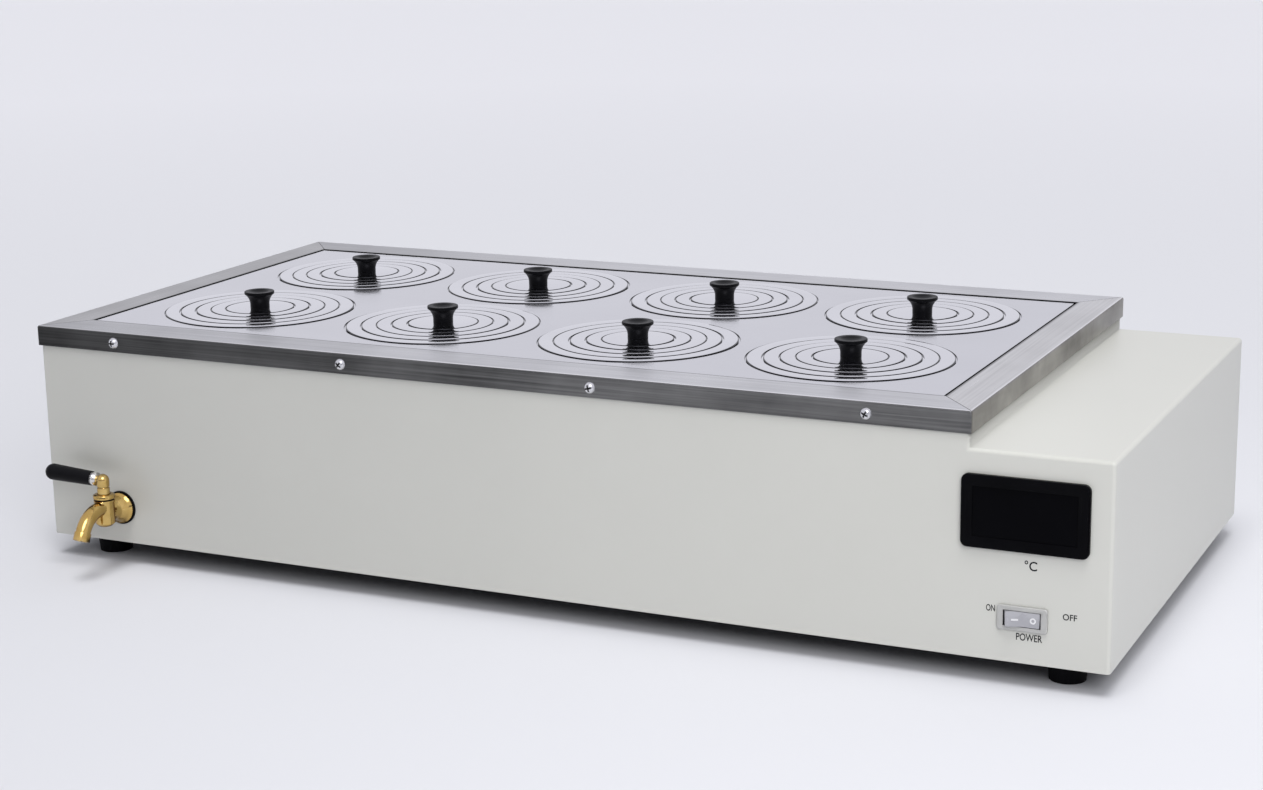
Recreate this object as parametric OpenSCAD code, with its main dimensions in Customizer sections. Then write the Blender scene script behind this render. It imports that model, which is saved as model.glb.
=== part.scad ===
// Eight-hole thermostatic water bath. All sizes are in millimetres, +Z is up.
// Inside housing_frame() the origin is the housing's lower front left corner:
// X runs to the right, Y to the back and Z up from the underside of the housing.

/* [Holes and rings] */
// Diameter of each round hole in the cover plate
hole_d = 130; // [110:1:150]
// Width of metal left between two holes of one row
web_x = 13.4; // [8:0.1:30]
// Width of metal left between the two rows
web_y = 9.9; // [8:0.1:30]
// Visible width of each of the four nested rings
ring_w = 10.25; // [9:0.05:10.75]
// Sheet thickness of the rings and the centre lids
ring_t = 0.8; // [0.6:0.1:1.0]
// Width of the sunk ledge that carries the next ring inwards
ledge_w = 3.5; // [2.5:0.1:5]
// Play between a ring and the seat around it, measured on the radius
ring_gap = 0.8; // [0.7:0.05:1.2]
// Height of the play between a ring and the ledge under it
ring_rest = 0.05; // [0.03:0.01:0.1]
// Distance that a ring lies off the middle of its seat
ring_shift = 0.4; // [0:0.05:0.4]

/* [Lid knobs] */
// Height of a knob above its lid
knob_h = 12.5; // [10:0.1:20]
// Diameter of the knob's flared lip
knob_lip_d = 20.4; // [16:0.1:26]
// Diameter of the knob's waist
knob_waist_d = 13.2; // [9:0.1:15]
// Height of the knob's upright lip
knob_lip_h = 2.2; // [1:0.1:3]
// Diameter of the screw that holds a knob
knob_screw_d = 4; // [3:0.5:5]

/* [Cover plate and rim] */
// Thickness of the cover plate
plate_t = 1; // [0.9:0.1:1.5]
// Metal left between the outer holes and the plate's left and right edges
plate_margin_x = 18.3; // [12:0.1:40]
// Metal left between the holes and the plate's front and back edges
plate_margin_y = 9.4; // [8:0.1:40]
// Gap between the plate and the rim on the left, the front and the back
plate_gap = 0.8; // [0.5:0.1:1.5]
// Gap between the plate and the rim on the right
plate_gap_right = 1.8; // [0.5:0.1:3]
// Width of the rim's left and right strips, seen from above
rim_w_side = 24.5; // [22:0.1:45]
// Width of the rim's front and back strips, seen from above
rim_w_front = 29.4; // [22:0.1:45]
// Thickness of the rim's stainless sheet
rim_t = 1.5; // [1.2:0.1:2]
// Height of the flange that the rim turns down over the housing
rim_flange_h = 13.3; // [11:0.1:16]
// Width of the seams at the rim's four mitred corners
rim_seam_w = 0.4; // [0.3:0.1:0.6]
// Thread diameter of the screws that hold the rim
rim_screw_d = 4; // [3:0.5:5]
// Head diameter of the screws that hold the rim
rim_screw_head_d = 7.6; // [6:0.1:9]
// Distance between two rim screws
rim_screw_pitch = 174.5; // [150:0.5:185]

/* [Housing] */
// Height of the rim's top above the underside of the housing
rim_top_h = 144.5; // [142:0.5:200]
// Height of the control box above the underside of the housing
control_h = 122.7; // [118:0.1:127]
// Length of the control box, left to right
control_l = 83; // [80:1:120]
// Thickness of the painted sheet steel
sheet_t = 1.2; // [1:0.1:1.6]
// Outer radius of the bends in the painted sheet
bend_r = 2.5; // [2:0.1:4]
// Width of the flanges turned in at the bottom of the housing
bottom_flange_w = 14; // [10:0.5:18]
// Thickness of the base plate
base_t = 1.5; // [1:0.1:2]
// Gap between the base plate and the housing's walls
base_gap = 0.6; // [0.4:0.1:1]

/* [Feet] */
// Height of the rubber feet
foot_h = 15; // [6:0.5:20]
// Diameter of a foot where it meets the base plate
foot_d = 24.5; // [20:0.5:32]
// Diameter of a foot where it stands on the bench
foot_tip_d = 21.5; // [18:0.5:30]
// Distance from the housing's ends to the middle of a foot
foot_inset_x = 30.5; // [28:0.5:80]
// Distance from the housing's front and back to the middle of a foot
foot_inset_y = 26.5; // [24:0.5:60]

/* [Tank] */
// Thickness of the tank's stainless sheet
tank_t = 1; // [0.8:0.1:1.5]
// Height of the tank's underside above the underside of the housing
tank_floor_h = 11.6; // [9:0.1:20]
// Width of the flange inside the rim that carries the cover plate
plate_seat_w = 5; // [4:0.1:7]
// Radius of the tank's upright corners
tank_corner_r = 12; // [6:0.5:25]
// Thickness of the insulating slabs around the tank
insulation_t = 20; // [12:0.5:22]

/* [Heater and shelf] */
// Diameter of the heating tube
heater_d = 10; // [8:0.5:12]
// Height of the heating tube's middle above the tank floor
heater_h = 16; // [14:0.5:18]
// Distance between the two legs of the heating tube
heater_pitch = 140; // [80:1:180]
// Distance from the tank's left wall to the bend of the heating tube
heater_inset = 80; // [60:1:150]
// Height of the shelf's top above the tank floor
shelf_h = 32; // [30:0.5:60]
// Thickness of the shelf's sheet
shelf_t = 1; // [0.8:0.1:1.5]
// Gap between the shelf and the tank's left and right walls
shelf_gap_x = 3; // [2:0.5:10]
// Gap between the shelf and the tank's front and back walls
shelf_gap_y = 14; // [12:0.5:20]
// Diameter of the holes in the shelf
shelf_hole_d = 12; // [6:0.5:20]
// Distance between two holes in the shelf
shelf_hole_pitch = 36; // [26:1:60]

/* [Probe] */
// Diameter of the temperature probe
probe_d = 6; // [4:0.5:8]
// Length of the probe inside the tank
probe_l = 110; // [60:1:160]

/* [Drain tap] */
// Distance from the housing's left end to the middle of the tap
tap_x = 57.6; // [54:0.1:90]
// Width of the tap's locknut across its flats
tap_nut_af = 20; // [18:0.5:24]
// Gap between the locknut and the tank floor
tap_nut_gap = 1.6; // [0.4:0.1:3]
// Diameter of the tap's threaded tail
tap_tail_d = 14; // [12:0.5:15]
// Diameter of the flange that lies against the housing
tap_flange_d = 20.6; // [19:0.1:26]
// Distance from the housing's front to the middle of the tap's barrel
tap_reach = 18; // [16:0.5:24]
// Diameter of the tap's barrel
tap_barrel_d = 13; // [12.4:0.1:18]
// Diameter of the turning plug
tap_plug_d = 8.4; // [8:0.1:8.8]
// Clearance of the plug in its barrel, measured on the radius
tap_plug_fit = 0.05; // [0.02:0.01:0.08]
// Diameter of the spout
spout_d = 10; // [9:0.1:11]
// Bore of the spout
spout_bore_d = 7.4; // [5:0.1:7.8]
// Radius of the spout's bend
spout_bend_r = 20; // [16:0.5:30]
// Angle through which the spout bends down
spout_angle = 65; // [45:1:75]
// Length of the straight nozzle at the end of the spout
nozzle_l = 5; // [4:0.5:8]
// Diameter of the lever's rod
lever_d = 5; // [4:0.1:6]
// Length of the black grip on the lever
grip_l = 37; // [24:0.1:40]
// Diameter of the grip at its free end
grip_tip_d = 11; // [9:0.1:13]
// Diameter of the grip next to the stem
grip_root_d = 9.6; // [8:0.1:10.8]

/* [Display] */
// Width of the display's frame
display_w = 74; // [66:0.5:76]
// Height of the display's frame
display_h = 42.7; // [38:0.1:46]
// Distance from the housing's right end to the middle of the display
display_inset = 50; // [46:0.5:52]
// Height of the display's middle above the underside of the housing
display_z = 87.2; // [84:0.1:92]
// Width of the frame around the display's window
display_border = 5.4; // [4:0.1:7]
// Distance that the frame stands out of the panel
display_proud = 3; // [2:0.1:5]
// Radius of the frame's corners
display_corner_r = 4; // [2:0.1:6]

/* [Power switch] */
// Width of the switch's frame
switch_w = 29.2; // [28:0.1:32]
// Height of the switch's frame
switch_h = 14.6; // [14:0.1:18]
// Distance from the housing's right end to the middle of the switch
switch_inset = 50.4; // [40:0.1:60]
// Height of the switch's middle above the underside of the housing
switch_z = 26.6; // [22:0.1:34]
// Distance that the frame stands out of the panel
switch_proud = 1.8; // [1.2:0.1:2.5]
// Length of the rocker from end to end
rocker_l = 21.2; // [19:0.1:22]
// Height of the rocker
rocker_w = 8.6; // [7:0.1:9]
// Angle between the rocker's two positions
rocker_throw = 16; // [10:1:18]
// Gap around the rocker
rocker_gap = 0.4; // [0.35:0.05:0.6]
// Diameter of the pins that the rocker tilts on
rocker_pin_d = 2.4; // [2:0.1:3]

/* [Rear of the control box] */
// Thread diameter of the cord gland
gland_d = 16; // [12:0.5:20]
// Bore of the cord gland
gland_bore_d = 8; // [6:0.5:9]
// Thread diameter of the fuse holder
fuse_d = 12; // [10:0.5:14]
// Distance from the housing's right end to the middle of the gland
gland_inset = 24; // [20:1:30]
// Height of the gland and the fuse holder above the underside of the housing
rear_fitting_z = 30; // [24:1:50]

/* [Hidden] */
// The node names fix the number of holes at two rows of four.
$fn = 64;

paint = "#c9c9c2";
stainless = "#c4c4cc";
polished = "#d6d6e0";
brass = "#c9a24a";
black = "#1a1a1c";
dark_glass = "#0c0c10";
eps = 0.01;
// Clearance that lets a screw or a tube pass through a hole, on the diameter
pass_gap = 0.4;
// Gap that keeps two pieces of one node apart where they meet
part_gap = 0.05;
// Gap between an insulating slab and what it lies against
slab_gap = 0.3;

// Hole pattern and cover plate
hole_cols = 4;
hole_rows = 2;
pitch_x = hole_d + web_x;
pitch_y = hole_d + web_y;
plate_l = hole_cols * hole_d + (hole_cols - 1) * web_x + 2 * plate_margin_x;
plate_d = hole_rows * hole_d + (hole_rows - 1) * web_y + 2 * plate_margin_y;
plate_x = rim_w_side - rim_t + plate_gap;
plate_y = rim_w_front - rim_t + plate_gap;
opening_l = plate_l + plate_gap + plate_gap_right;
opening_d = plate_d + 2 * plate_gap;

// Feet and the small screws under the housing
foot_web_t = foot_h * 0.4;
foot_recess_d = 10;
foot_screw_d = 4;
foot_nut_t = foot_screw_d * 0.8;
// How far a foot's screw stands above the base plate, with its nut
foot_screw_rise = foot_nut_t + 2.8;
base_screw_d = 3;

// Housing
tank_sec_l = opening_l + 2 * (rim_w_side - rim_t);
housing_l = tank_sec_l + control_l;
control_mid_x = housing_l - control_l / 2;
housing_d = opening_d + 2 * (rim_w_front - rim_t);
seat_z = rim_top_h - rim_t;
shell_top = seat_z - tank_t;
plate_top = seat_z + plate_t;
// The wall between the tank and the control box reaches this far below the control box's top.
step_skirt_h = 15;
inner_floor_z = base_t + sheet_t;

// Depth of each ring's seat below the plate's top
seat_depth = ring_t + ring_rest;

// Tank, as lengths between its inner faces
tank_x0 = plate_x - plate_gap + plate_seat_w;
tank_y0 = plate_y - plate_gap + plate_seat_w;
tank_l = opening_l - 2 * plate_seat_w;
tank_d = opening_d - 2 * plate_seat_w;
tank_floor_z = tank_floor_h + tank_t;
tank_x1 = tank_x0 + tank_l;
tank_y1 = tank_y0 + tank_d;
tank_flange_inset = 1.5;
tank_mid_y = tank_y0 + tank_d / 2;
bulkhead_x = tank_sec_l - 2 * sheet_t;

// Heater, probe and their nuts
heater_z = tank_floor_z + heater_h;
heater_nut_af = heater_d + 9;
heater_nut_t = 5;
heater_collar_d = heater_d + 3;
heater_tail = 22;
terminal_l = 12;
probe_gland_af = probe_d + 8;
probe_collar_d = probe_d + 4;
probe_tail = 24;

// Tap
tap_z = tank_floor_z + tap_nut_gap + tap_nut_af / 2;
gasket_t = 1.2;
tap_washer_t = 1.5;
tap_nut_t = 6;
// The spout leaves the barrel this far above the tail, and runs straight for the lead before it bends
spout_rise = 4.8;
spout_lead = 6.4;
// The nozzle is this much wider than the spout, outside and inside
nozzle_step = 1.1;
barrel_low = 7.6;
barrel_high = 10.2;
barrel_floor_t = 2.6;
o_ring_t = 1.2;
bonnet_h = 2.8;
stem_top = 27.6;
lever_z = 23.4;
lever_tilt = 2.5;
lever_start = 8.6;
nozzle_y = tap_reach + spout_lead + spout_bend_r * sin(spout_angle) + nozzle_l * cos(spout_angle);
spout_front = nozzle_y + (spout_d + nozzle_step) / 2 * sin(spout_angle);

// Panel fittings
board_t = 1.6;
display_x = housing_l - display_inset;
display_board_y = sheet_t + 6;
// The window lies in a well, which is this much smaller all round than the hole in the panel
well_inset = 1.2;
window_t = 1.2;
window_back = 0.8;
window_gap = 0.1;
switch_x = housing_l - switch_inset;
switch_body_w = rocker_l + 2 * rocker_gap + 3;
switch_body_h = rocker_w + 2 * rocker_gap + 2.6;
switch_body_d = 16;
rocker_y = 1.6;
rocker_face_y = -3.5;
rocker_back_y = 2.4;

// Cord gland, as lengths that stand out behind the housing
gland_flange_t = 3;
gland_cap_l = 9;
gland_cone_l = 5;
gland_reach = gland_flange_t + gland_cap_l + gland_cone_l;

// The row's origin: the middle of the whole part's box, at bench level
origin_x = (housing_l - rim_t) / 2;
origin_y = (housing_d + gland_reach - spout_front) / 2;

module housing_frame() {
    translate([-origin_x, -origin_y, foot_h]) children();
}

// ---------- shared shapes ----------

// Box with rounded upright edges
module upright_box(l, d, h, r) {
    translate([r, 0, 0]) cube([l - 2 * r, d, h]);
    translate([0, r, 0]) cube([l, d - 2 * r, h]);
    for (x = [r, l - r], y = [r, d - r]) {
        translate([x, y, 0]) cylinder(r = r, h = h);
    }
}

// Box with rounded upright and top edges, and a flat underside
module bent_box(l, d, h, r) {
    upright_box(l, d, h - r, r);
    translate([r, r, 0]) cube([l - 2 * r, d - 2 * r, h]);
    for (y = [r, d - r]) {
        translate([r, y, h - r]) rotate([0, 90, 0]) cylinder(r = r, h = l - 2 * r);
    }
    for (x = [r, l - r]) {
        translate([x, r, h - r]) rotate([-90, 0, 0]) cylinder(r = r, h = d - 2 * r);
        for (y = [r, d - r]) {
            translate([x, y, h - r]) sphere(r = r);
        }
    }
}

// Plate with rounded corners and a rounded top edge
module soft_plate(l, d, h, r, edge_r) {
    upright_box(l, d, h - edge_r, r);
    translate([edge_r, edge_r, 0]) upright_box(l - 2 * edge_r, d - 2 * edge_r, h, r - edge_r);
    for (y = [edge_r, d - edge_r]) {
        translate([r, y, h - edge_r]) rotate([0, 90, 0]) cylinder(r = edge_r, h = l - 2 * r);
    }
    for (x = [edge_r, l - edge_r]) {
        translate([x, r, h - edge_r]) rotate([-90, 0, 0]) cylinder(r = edge_r, h = d - 2 * r);
    }
    for (x = [r, l - r], y = [r, d - r]) {
        translate([x, y, h - edge_r]) rotate_extrude() translate([r - edge_r, 0]) circle(r = edge_r);
    }
}

// Cylinder that points forwards, from the face at y = 0
module forward_rod(d, l) {
    rotate([90, 0, 0]) cylinder(d = d, h = l);
}

// Cylinder that points backwards, from the face at y = 0
module backward_rod(d, l) {
    rotate([-90, 0, 0]) cylinder(d = d, h = l);
}

// Cylinder that points to the right, from the face at x = 0
module right_rod(d, l) {
    rotate([0, 90, 0]) cylinder(d = d, h = l);
}

module tube(d, bore, h) {
    difference() {
        cylinder(d = d, h = h);
        translate([0, 0, -eps]) cylinder(d = bore, h = h + 2 * eps);
    }
}

// Six-sided block, lying flat, with two flats square to Y
module hex_block(af, t) {
    intersection_for (a = [0, 60, 120]) {
        rotate(a) translate([-af, -af / 2, 0]) cube([2 * af, af, t]);
    }
}

module hex_nut(af, bore, t) {
    difference() {
        hex_block(af, t);
        translate([0, 0, -eps]) cylinder(d = bore, h = t + 2 * eps);
    }
}

// Pan-head screw that points forwards: its head's underside is at y = 0
module pan_screw(d, head_d, l) {
    head_h = head_d * 0.36;
    dome_r = (head_d * head_d / 4 + head_h * head_h) / (2 * head_h);
    slot_w = head_d * 0.14;
    slot_l = head_d * 0.56;
    difference() {
        union() {
            intersection() {
                forward_rod(head_d, head_h);
                translate([0, dome_r - head_h, 0]) sphere(r = dome_r);
            }
            backward_rod(d, l);
        }
        for (a = [0, 90]) {
            rotate([0, a, 0]) translate([-slot_l / 2, -head_h - eps, -slot_w / 2]) {
                cube([slot_l, head_h * 0.55, slot_w]);
            }
        }
    }
}

// ---------- places that several sub-parts share ----------

// Hole number 1 to 8: 1 to 4 along the front row, 5 to 8 along the back row
function hole_x(n) = plate_x + plate_margin_x + hole_d / 2 + ((n - 1) % hole_cols) * pitch_x;
function hole_y(n) = plate_y + plate_margin_y + hole_d / 2 + floor((n - 1) / hole_cols) * pitch_y;

// Diameter of seat number k: 1 is the plate's hole and 5 is the innermost ring's
function seat_d(k) = hole_d - 2 * (k - 1) * ring_w;

// Place of ring number k of hole n: each ring lies a little off the middle of its seat
function ring_turn(n, k) = 137 * n + 101 * k;
function ring_at(n, k) = k == 0
    ? [0, 0]
    : ring_at(n, k - 1) + ring_shift * [cos(ring_turn(n, k)), sin(ring_turn(n, k))];

rim_screw_x0 = tank_sec_l / 2 - 1.5 * rim_screw_pitch;
rim_screw_z = rim_top_h - rim_flange_h / 2 - 0.6;

// Four rim screws in the front and four in the back, all drawn as if for the front
module at_rim_screws() {
    for (i = [0 : 3]) {
        translate([rim_screw_x0 + i * rim_screw_pitch, 0, rim_screw_z]) children();
        translate([rim_screw_x0 + i * rim_screw_pitch, housing_d, rim_screw_z]) {
            mirror([0, 1, 0]) children();
        }
    }
}

module at_feet() {
    for (x = [foot_inset_x, housing_l - foot_inset_x], y = [foot_inset_y, housing_d - foot_inset_y]) {
        translate([x, y, 0]) children();
    }
}

base_screw_inset = bottom_flange_w / 2 + sheet_t / 2;

base_screw_x0 = base_screw_inset + bottom_flange_w;

module at_base_screws() {
    for (i = [0 : 3], y = [base_screw_inset, housing_d - base_screw_inset]) {
        translate([base_screw_x0 + i * (housing_l - 2 * base_screw_x0) / 3, y, 0]) children();
    }
}

// The two places where the heating tube goes through the tank's right wall
module at_heater_legs() {
    for (side = [-1, 1]) {
        translate([tank_x1, tank_mid_y + side * heater_pitch / 2, heater_z]) children();
    }
}

module at_tap() {
    translate([tap_x, 0, tap_z]) children();
}

// The tap's upright axis, with z = 0 at the height of the tail
module at_barrel() {
    translate([tap_x, -tap_reach, tap_z]) children();
}

gland_x = housing_l - gland_inset;
fuse_x = gland_x - 34;

// ---------- housing ----------

// Rectangular hole in the front panel, around its middle
module panel_hole(x, z, w, h) {
    translate([x - w / 2, -eps, z - h / 2]) cube([w, sheet_t + 2 * eps, h]);
}

module shell_cutouts() {
    at_tap() translate([0, -eps, 0]) backward_rod(tap_tail_d + pass_gap, sheet_t + 2 * eps);
    panel_hole(display_x, display_z, display_w - 2 * display_border, display_h - 2 * display_border);
    panel_hole(switch_x, switch_z, switch_body_w + pass_gap, switch_body_h + pass_gap);
    at_rim_screws() translate([0, -eps, 0]) backward_rod(rim_screw_d + pass_gap, sheet_t + 2 * eps);
    at_base_screws() translate([0, 0, base_t - eps]) {
        cylinder(d = base_screw_d + pass_gap, h = sheet_t + 2 * eps, $fn = 32);
    }
    translate([gland_x, housing_d - sheet_t - eps, rear_fitting_z]) {
        backward_rod(gland_d + pass_gap, sheet_t + 2 * eps);
    }
    translate([fuse_x, housing_d - sheet_t - eps, rear_fitting_z]) {
        backward_rod(fuse_d + pass_gap, sheet_t + 2 * eps);
    }
    // Cooling slots high on the back of the control box
    slot_l = 44;
    slot_w = 3;
    for (i = [0 : 4]) {
        translate([housing_l - control_l / 2, housing_d, control_h - 20 - i * 9]) rotate([90, 0, 0]) {
            translate([-slot_l / 2, -slot_w / 2, -eps]) cube([slot_l, slot_w, sheet_t + 2 * eps]);
            for (x = [-slot_l / 2, slot_l / 2]) {
                translate([x, 0, -eps]) cylinder(d = slot_w, h = sheet_t + 2 * eps, $fn = 32);
            }
        }
    }
}

// One folded and welded box: the tank section, and the lower control box at its right end
module outer_shell() {
    color(paint) housing_frame() difference() {
        union() {
            upright_box(tank_sec_l, housing_d, shell_top, bend_r);
            translate([tank_sec_l - 3 * bend_r, 0, 0]) {
                bent_box(control_l + 3 * bend_r, housing_d, control_h, bend_r);
            }
            translate([tank_sec_l - 4 * bend_r, 0, 0]) cube([8 * bend_r, housing_d, control_h - bend_r]);
            translate([tank_sec_l - 4 * bend_r, bend_r, 0]) {
                cube([8 * bend_r, housing_d - 2 * bend_r, control_h]);
            }
            for (y = [bend_r, housing_d - bend_r]) {
                translate([tank_sec_l - 4 * bend_r, y, control_h - bend_r]) right_rod(2 * bend_r, 8 * bend_r);
            }
        }
        // Space inside the tank section
        translate([sheet_t, sheet_t, inner_floor_z]) {
            upright_box(tank_sec_l - 2 * sheet_t, housing_d - 2 * sheet_t,
                shell_top - sheet_t - inner_floor_z, bend_r - sheet_t + eps);
        }
        // Space inside the control box
        translate([tank_sec_l, sheet_t, inner_floor_z]) {
            bent_box(control_l - sheet_t, housing_d - 2 * sheet_t,
                control_h - sheet_t - inner_floor_z, bend_r - sheet_t + eps);
        }
        // Way from one space to the other, under the skirt of the step
        translate([tank_sec_l - 2 * bend_r, sheet_t, inner_floor_z]) {
            cube([4 * bend_r, housing_d - 2 * sheet_t, control_h - step_skirt_h - inner_floor_z]);
        }
        // Opening in the bottom, inside the turned-in flanges
        translate([bottom_flange_w, bottom_flange_w, base_t - eps]) {
            cube([housing_l - 2 * bottom_flange_w, housing_d - 2 * bottom_flange_w, sheet_t + 2 * eps]);
        }
        // Recess for the base plate
        translate([sheet_t, sheet_t, -eps]) {
            upright_box(housing_l - 2 * sheet_t, housing_d - 2 * sheet_t,
                base_t + eps, bend_r - sheet_t + eps);
        }
        // Opening that the tank hangs in
        translate([tank_x0 - tank_t - pass_gap, tank_y0 - tank_t - pass_gap, shell_top - sheet_t - eps]) {
            upright_box(tank_l + 2 * (tank_t + pass_gap), tank_d + 2 * (tank_t + pass_gap),
                sheet_t + 2 * eps, tank_corner_r + tank_t + pass_gap);
        }
        shell_cutouts();
    }
}

// Flat plate that closes the housing from below and carries the feet
module base_plate() {
    inset = sheet_t + base_gap;
    corner_r = 1.5;
    slot_l = 28;
    slot_w = 4;
    color("#b9bab6") housing_frame() difference() {
        translate([inset, inset, 0]) {
            upright_box(housing_l - 2 * inset, housing_d - 2 * inset, base_t, corner_r);
        }
        at_base_screws() translate([0, 0, -eps]) {
            cylinder(d = base_screw_d + pass_gap, h = base_t + 2 * eps, $fn = 32);
        }
        at_feet() translate([0, 0, -eps]) {
            cylinder(d = foot_screw_d + pass_gap, h = base_t + 2 * eps, $fn = 32);
        }
        // Cooling slots under the control box
        for (i = [0 : 5]) {
            translate([control_mid_x - slot_l / 2, housing_d / 2 + (i - 2.5) * 3 * slot_w, -eps]) {
                cube([slot_l, slot_w, base_t + 2 * eps]);
            }
        }
    }
}

module base_screws() {
    head_h = 1.6;
    slot_l = 3.2;
    slot_w = 0.8;
    slot_depth = 0.9;
    color(stainless) housing_frame() at_base_screws() translate([0, 0, -head_h]) {
        difference() {
            union() {
                cylinder(d = 2 * base_screw_d, h = head_h, $fn = 32);
                cylinder(d = base_screw_d, h = head_h + base_t + sheet_t + 2, $fn = 32);
            }
            for (a = [0, 90]) {
                rotate(a) translate([-slot_l / 2, -slot_w / 2, -eps]) cube([slot_l, slot_w, slot_depth]);
            }
        }
    }
}

// Sheet wall between the tank's space and the electrical parts
module bulkhead() {
    wall_y = sheet_t + bend_r;
    wall_d = housing_d - 2 * wall_y;
    color("#b9bab6") housing_frame() difference() {
        union() {
            translate([bulkhead_x, wall_y, inner_floor_z]) {
                cube([sheet_t, wall_d, shell_top - 2 * sheet_t - inner_floor_z]);
            }
            translate([bulkhead_x, wall_y, inner_floor_z]) cube([bottom_flange_w - 2, wall_d, sheet_t]);
        }
        // Notch that leaves room behind the display
        translate([bulkhead_x - eps, 0, display_z - display_h / 2]) {
            cube([sheet_t + 2 * eps, display_board_y + board_t + 1, display_h]);
        }
        at_heater_legs() translate([bulkhead_x - tank_x1 - eps, 0, 0]) {
            right_rod(heater_nut_af + 4, sheet_t + 2 * eps);
        }
        translate([bulkhead_x - eps, tank_mid_y, heater_z]) right_rod(probe_d + 6, sheet_t + 2 * eps);
    }
}

// ---------- feet ----------

module feet() {
    color(black) housing_frame() at_feet() translate([0, 0, -foot_h]) difference() {
        cylinder(d1 = foot_tip_d, d2 = foot_d, h = foot_h);
        translate([0, 0, -eps]) cylinder(d = foot_recess_d, h = foot_h - foot_web_t + eps);
        translate([0, 0, -eps]) cylinder(d = foot_screw_d + pass_gap, h = foot_h + 2 * eps, $fn = 32);
    }
}

// Screw and nut in each foot
module feet_screws() {
    head_h = foot_screw_d * 0.55;
    color(stainless) housing_frame() at_feet() {
        translate([0, 0, -foot_web_t - head_h]) cylinder(d = foot_recess_d - 2.6, h = head_h);
        translate([0, 0, -foot_web_t - eps]) {
            cylinder(d = foot_screw_d, h = foot_web_t + base_t + foot_screw_rise, $fn = 32);
        }
        translate([0, 0, base_t]) hex_nut(foot_recess_d - 3, foot_screw_d + 0.2, foot_nut_t);
    }
}

// ---------- tank ----------

module tank() {
    color(stainless) housing_frame() difference() {
        union() {
            translate([tank_x0 - tank_t, tank_y0 - tank_t, tank_floor_h]) {
                upright_box(tank_l + 2 * tank_t, tank_d + 2 * tank_t,
                    seat_z - tank_floor_h, tank_corner_r + tank_t);
            }
            translate([sheet_t + tank_flange_inset, sheet_t + tank_flange_inset, shell_top]) {
                cube([tank_sec_l - 2 * (sheet_t + tank_flange_inset),
                    housing_d - 2 * (sheet_t + tank_flange_inset), tank_t]);
            }
        }
        translate([tank_x0, tank_y0, tank_floor_z]) {
            upright_box(tank_l, tank_d, seat_z - tank_floor_z + eps, tank_corner_r);
        }
        at_tap() translate([0, tank_y0 - tank_t - eps, 0]) {
            backward_rod(tap_tail_d + pass_gap, tank_t + 2 * eps);
        }
        at_heater_legs() translate([-eps, 0, 0]) right_rod(heater_collar_d + pass_gap, tank_t + 2 * eps);
        translate([tank_x1 - eps, tank_mid_y, heater_z]) {
            right_rod(probe_collar_d + pass_gap, tank_t + 2 * eps);
        }
    }
}

// Insulating slabs in front of, behind and to the left of the tank
module tank_insulation() {
    slab_z = base_t + foot_screw_rise + slab_gap;
    slab_h = shell_top - sheet_t - slab_gap - slab_z;
    front_y = tank_y0 - tank_t - slab_gap - insulation_t;
    back_y = tank_y1 + tank_t + slab_gap;
    color("#d9cf9a") housing_frame() {
        difference() {
            translate([tank_x0, front_y, slab_z]) cube([tank_l, insulation_t, slab_h]);
            at_tap() translate([0, front_y - eps, 0]) backward_rod(tap_nut_af + 6, insulation_t + 2 * eps);
        }
        translate([tank_x0, back_y, slab_z]) cube([tank_l, insulation_t, slab_h]);
        translate([tank_x0 - tank_t - slab_gap - insulation_t, tank_y0, slab_z]) {
            cube([insulation_t, tank_d, slab_h]);
        }
    }
}

// ---------- rim ----------

module rim_frame() {
    frame_l = tank_sec_l + 2 * rim_t;
    frame_d = housing_d + 2 * rim_t;
    seam_depth = 0.4;
    color(stainless) housing_frame() difference() {
        translate([-rim_t, -rim_t, rim_top_h - rim_flange_h]) {
            bent_box(frame_l, frame_d, rim_flange_h, rim_t);
        }
        translate([0, 0, rim_top_h - rim_flange_h - eps]) {
            cube([tank_sec_l, housing_d, rim_flange_h - rim_t + eps]);
        }
        translate([plate_x - plate_gap, plate_y - plate_gap, seat_z - eps]) {
            cube([opening_l, opening_d, rim_t + 2 * eps]);
        }
        // Mitre seams, from each outer corner to the corner of the opening
        for (right = [0, 1], back = [0, 1]) {
            translate([right * tank_sec_l, back * housing_d, rim_top_h - seam_depth]) {
                mirror([right, 0, 0]) mirror([0, back, 0]) {
                    rotate(atan2(rim_w_front, rim_w_side)) translate([-2 * rim_t, -rim_seam_w / 2, 0]) {
                        cube([norm([rim_w_side, rim_w_front]) + 2 * rim_t, rim_seam_w, seam_depth + eps]);
                    }
                }
            }
        }
        at_rim_screws() translate([0, eps, 0]) forward_rod(rim_screw_d + pass_gap, rim_t + 2 * eps);
    }
}

module rim_screws() {
    color(polished) housing_frame() at_rim_screws() translate([0, -rim_t, 0]) {
        pan_screw(rim_screw_d, rim_screw_head_d, rim_t + sheet_t + 5);
    }
}

// ---------- cover plate, rings and lids ----------

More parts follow.
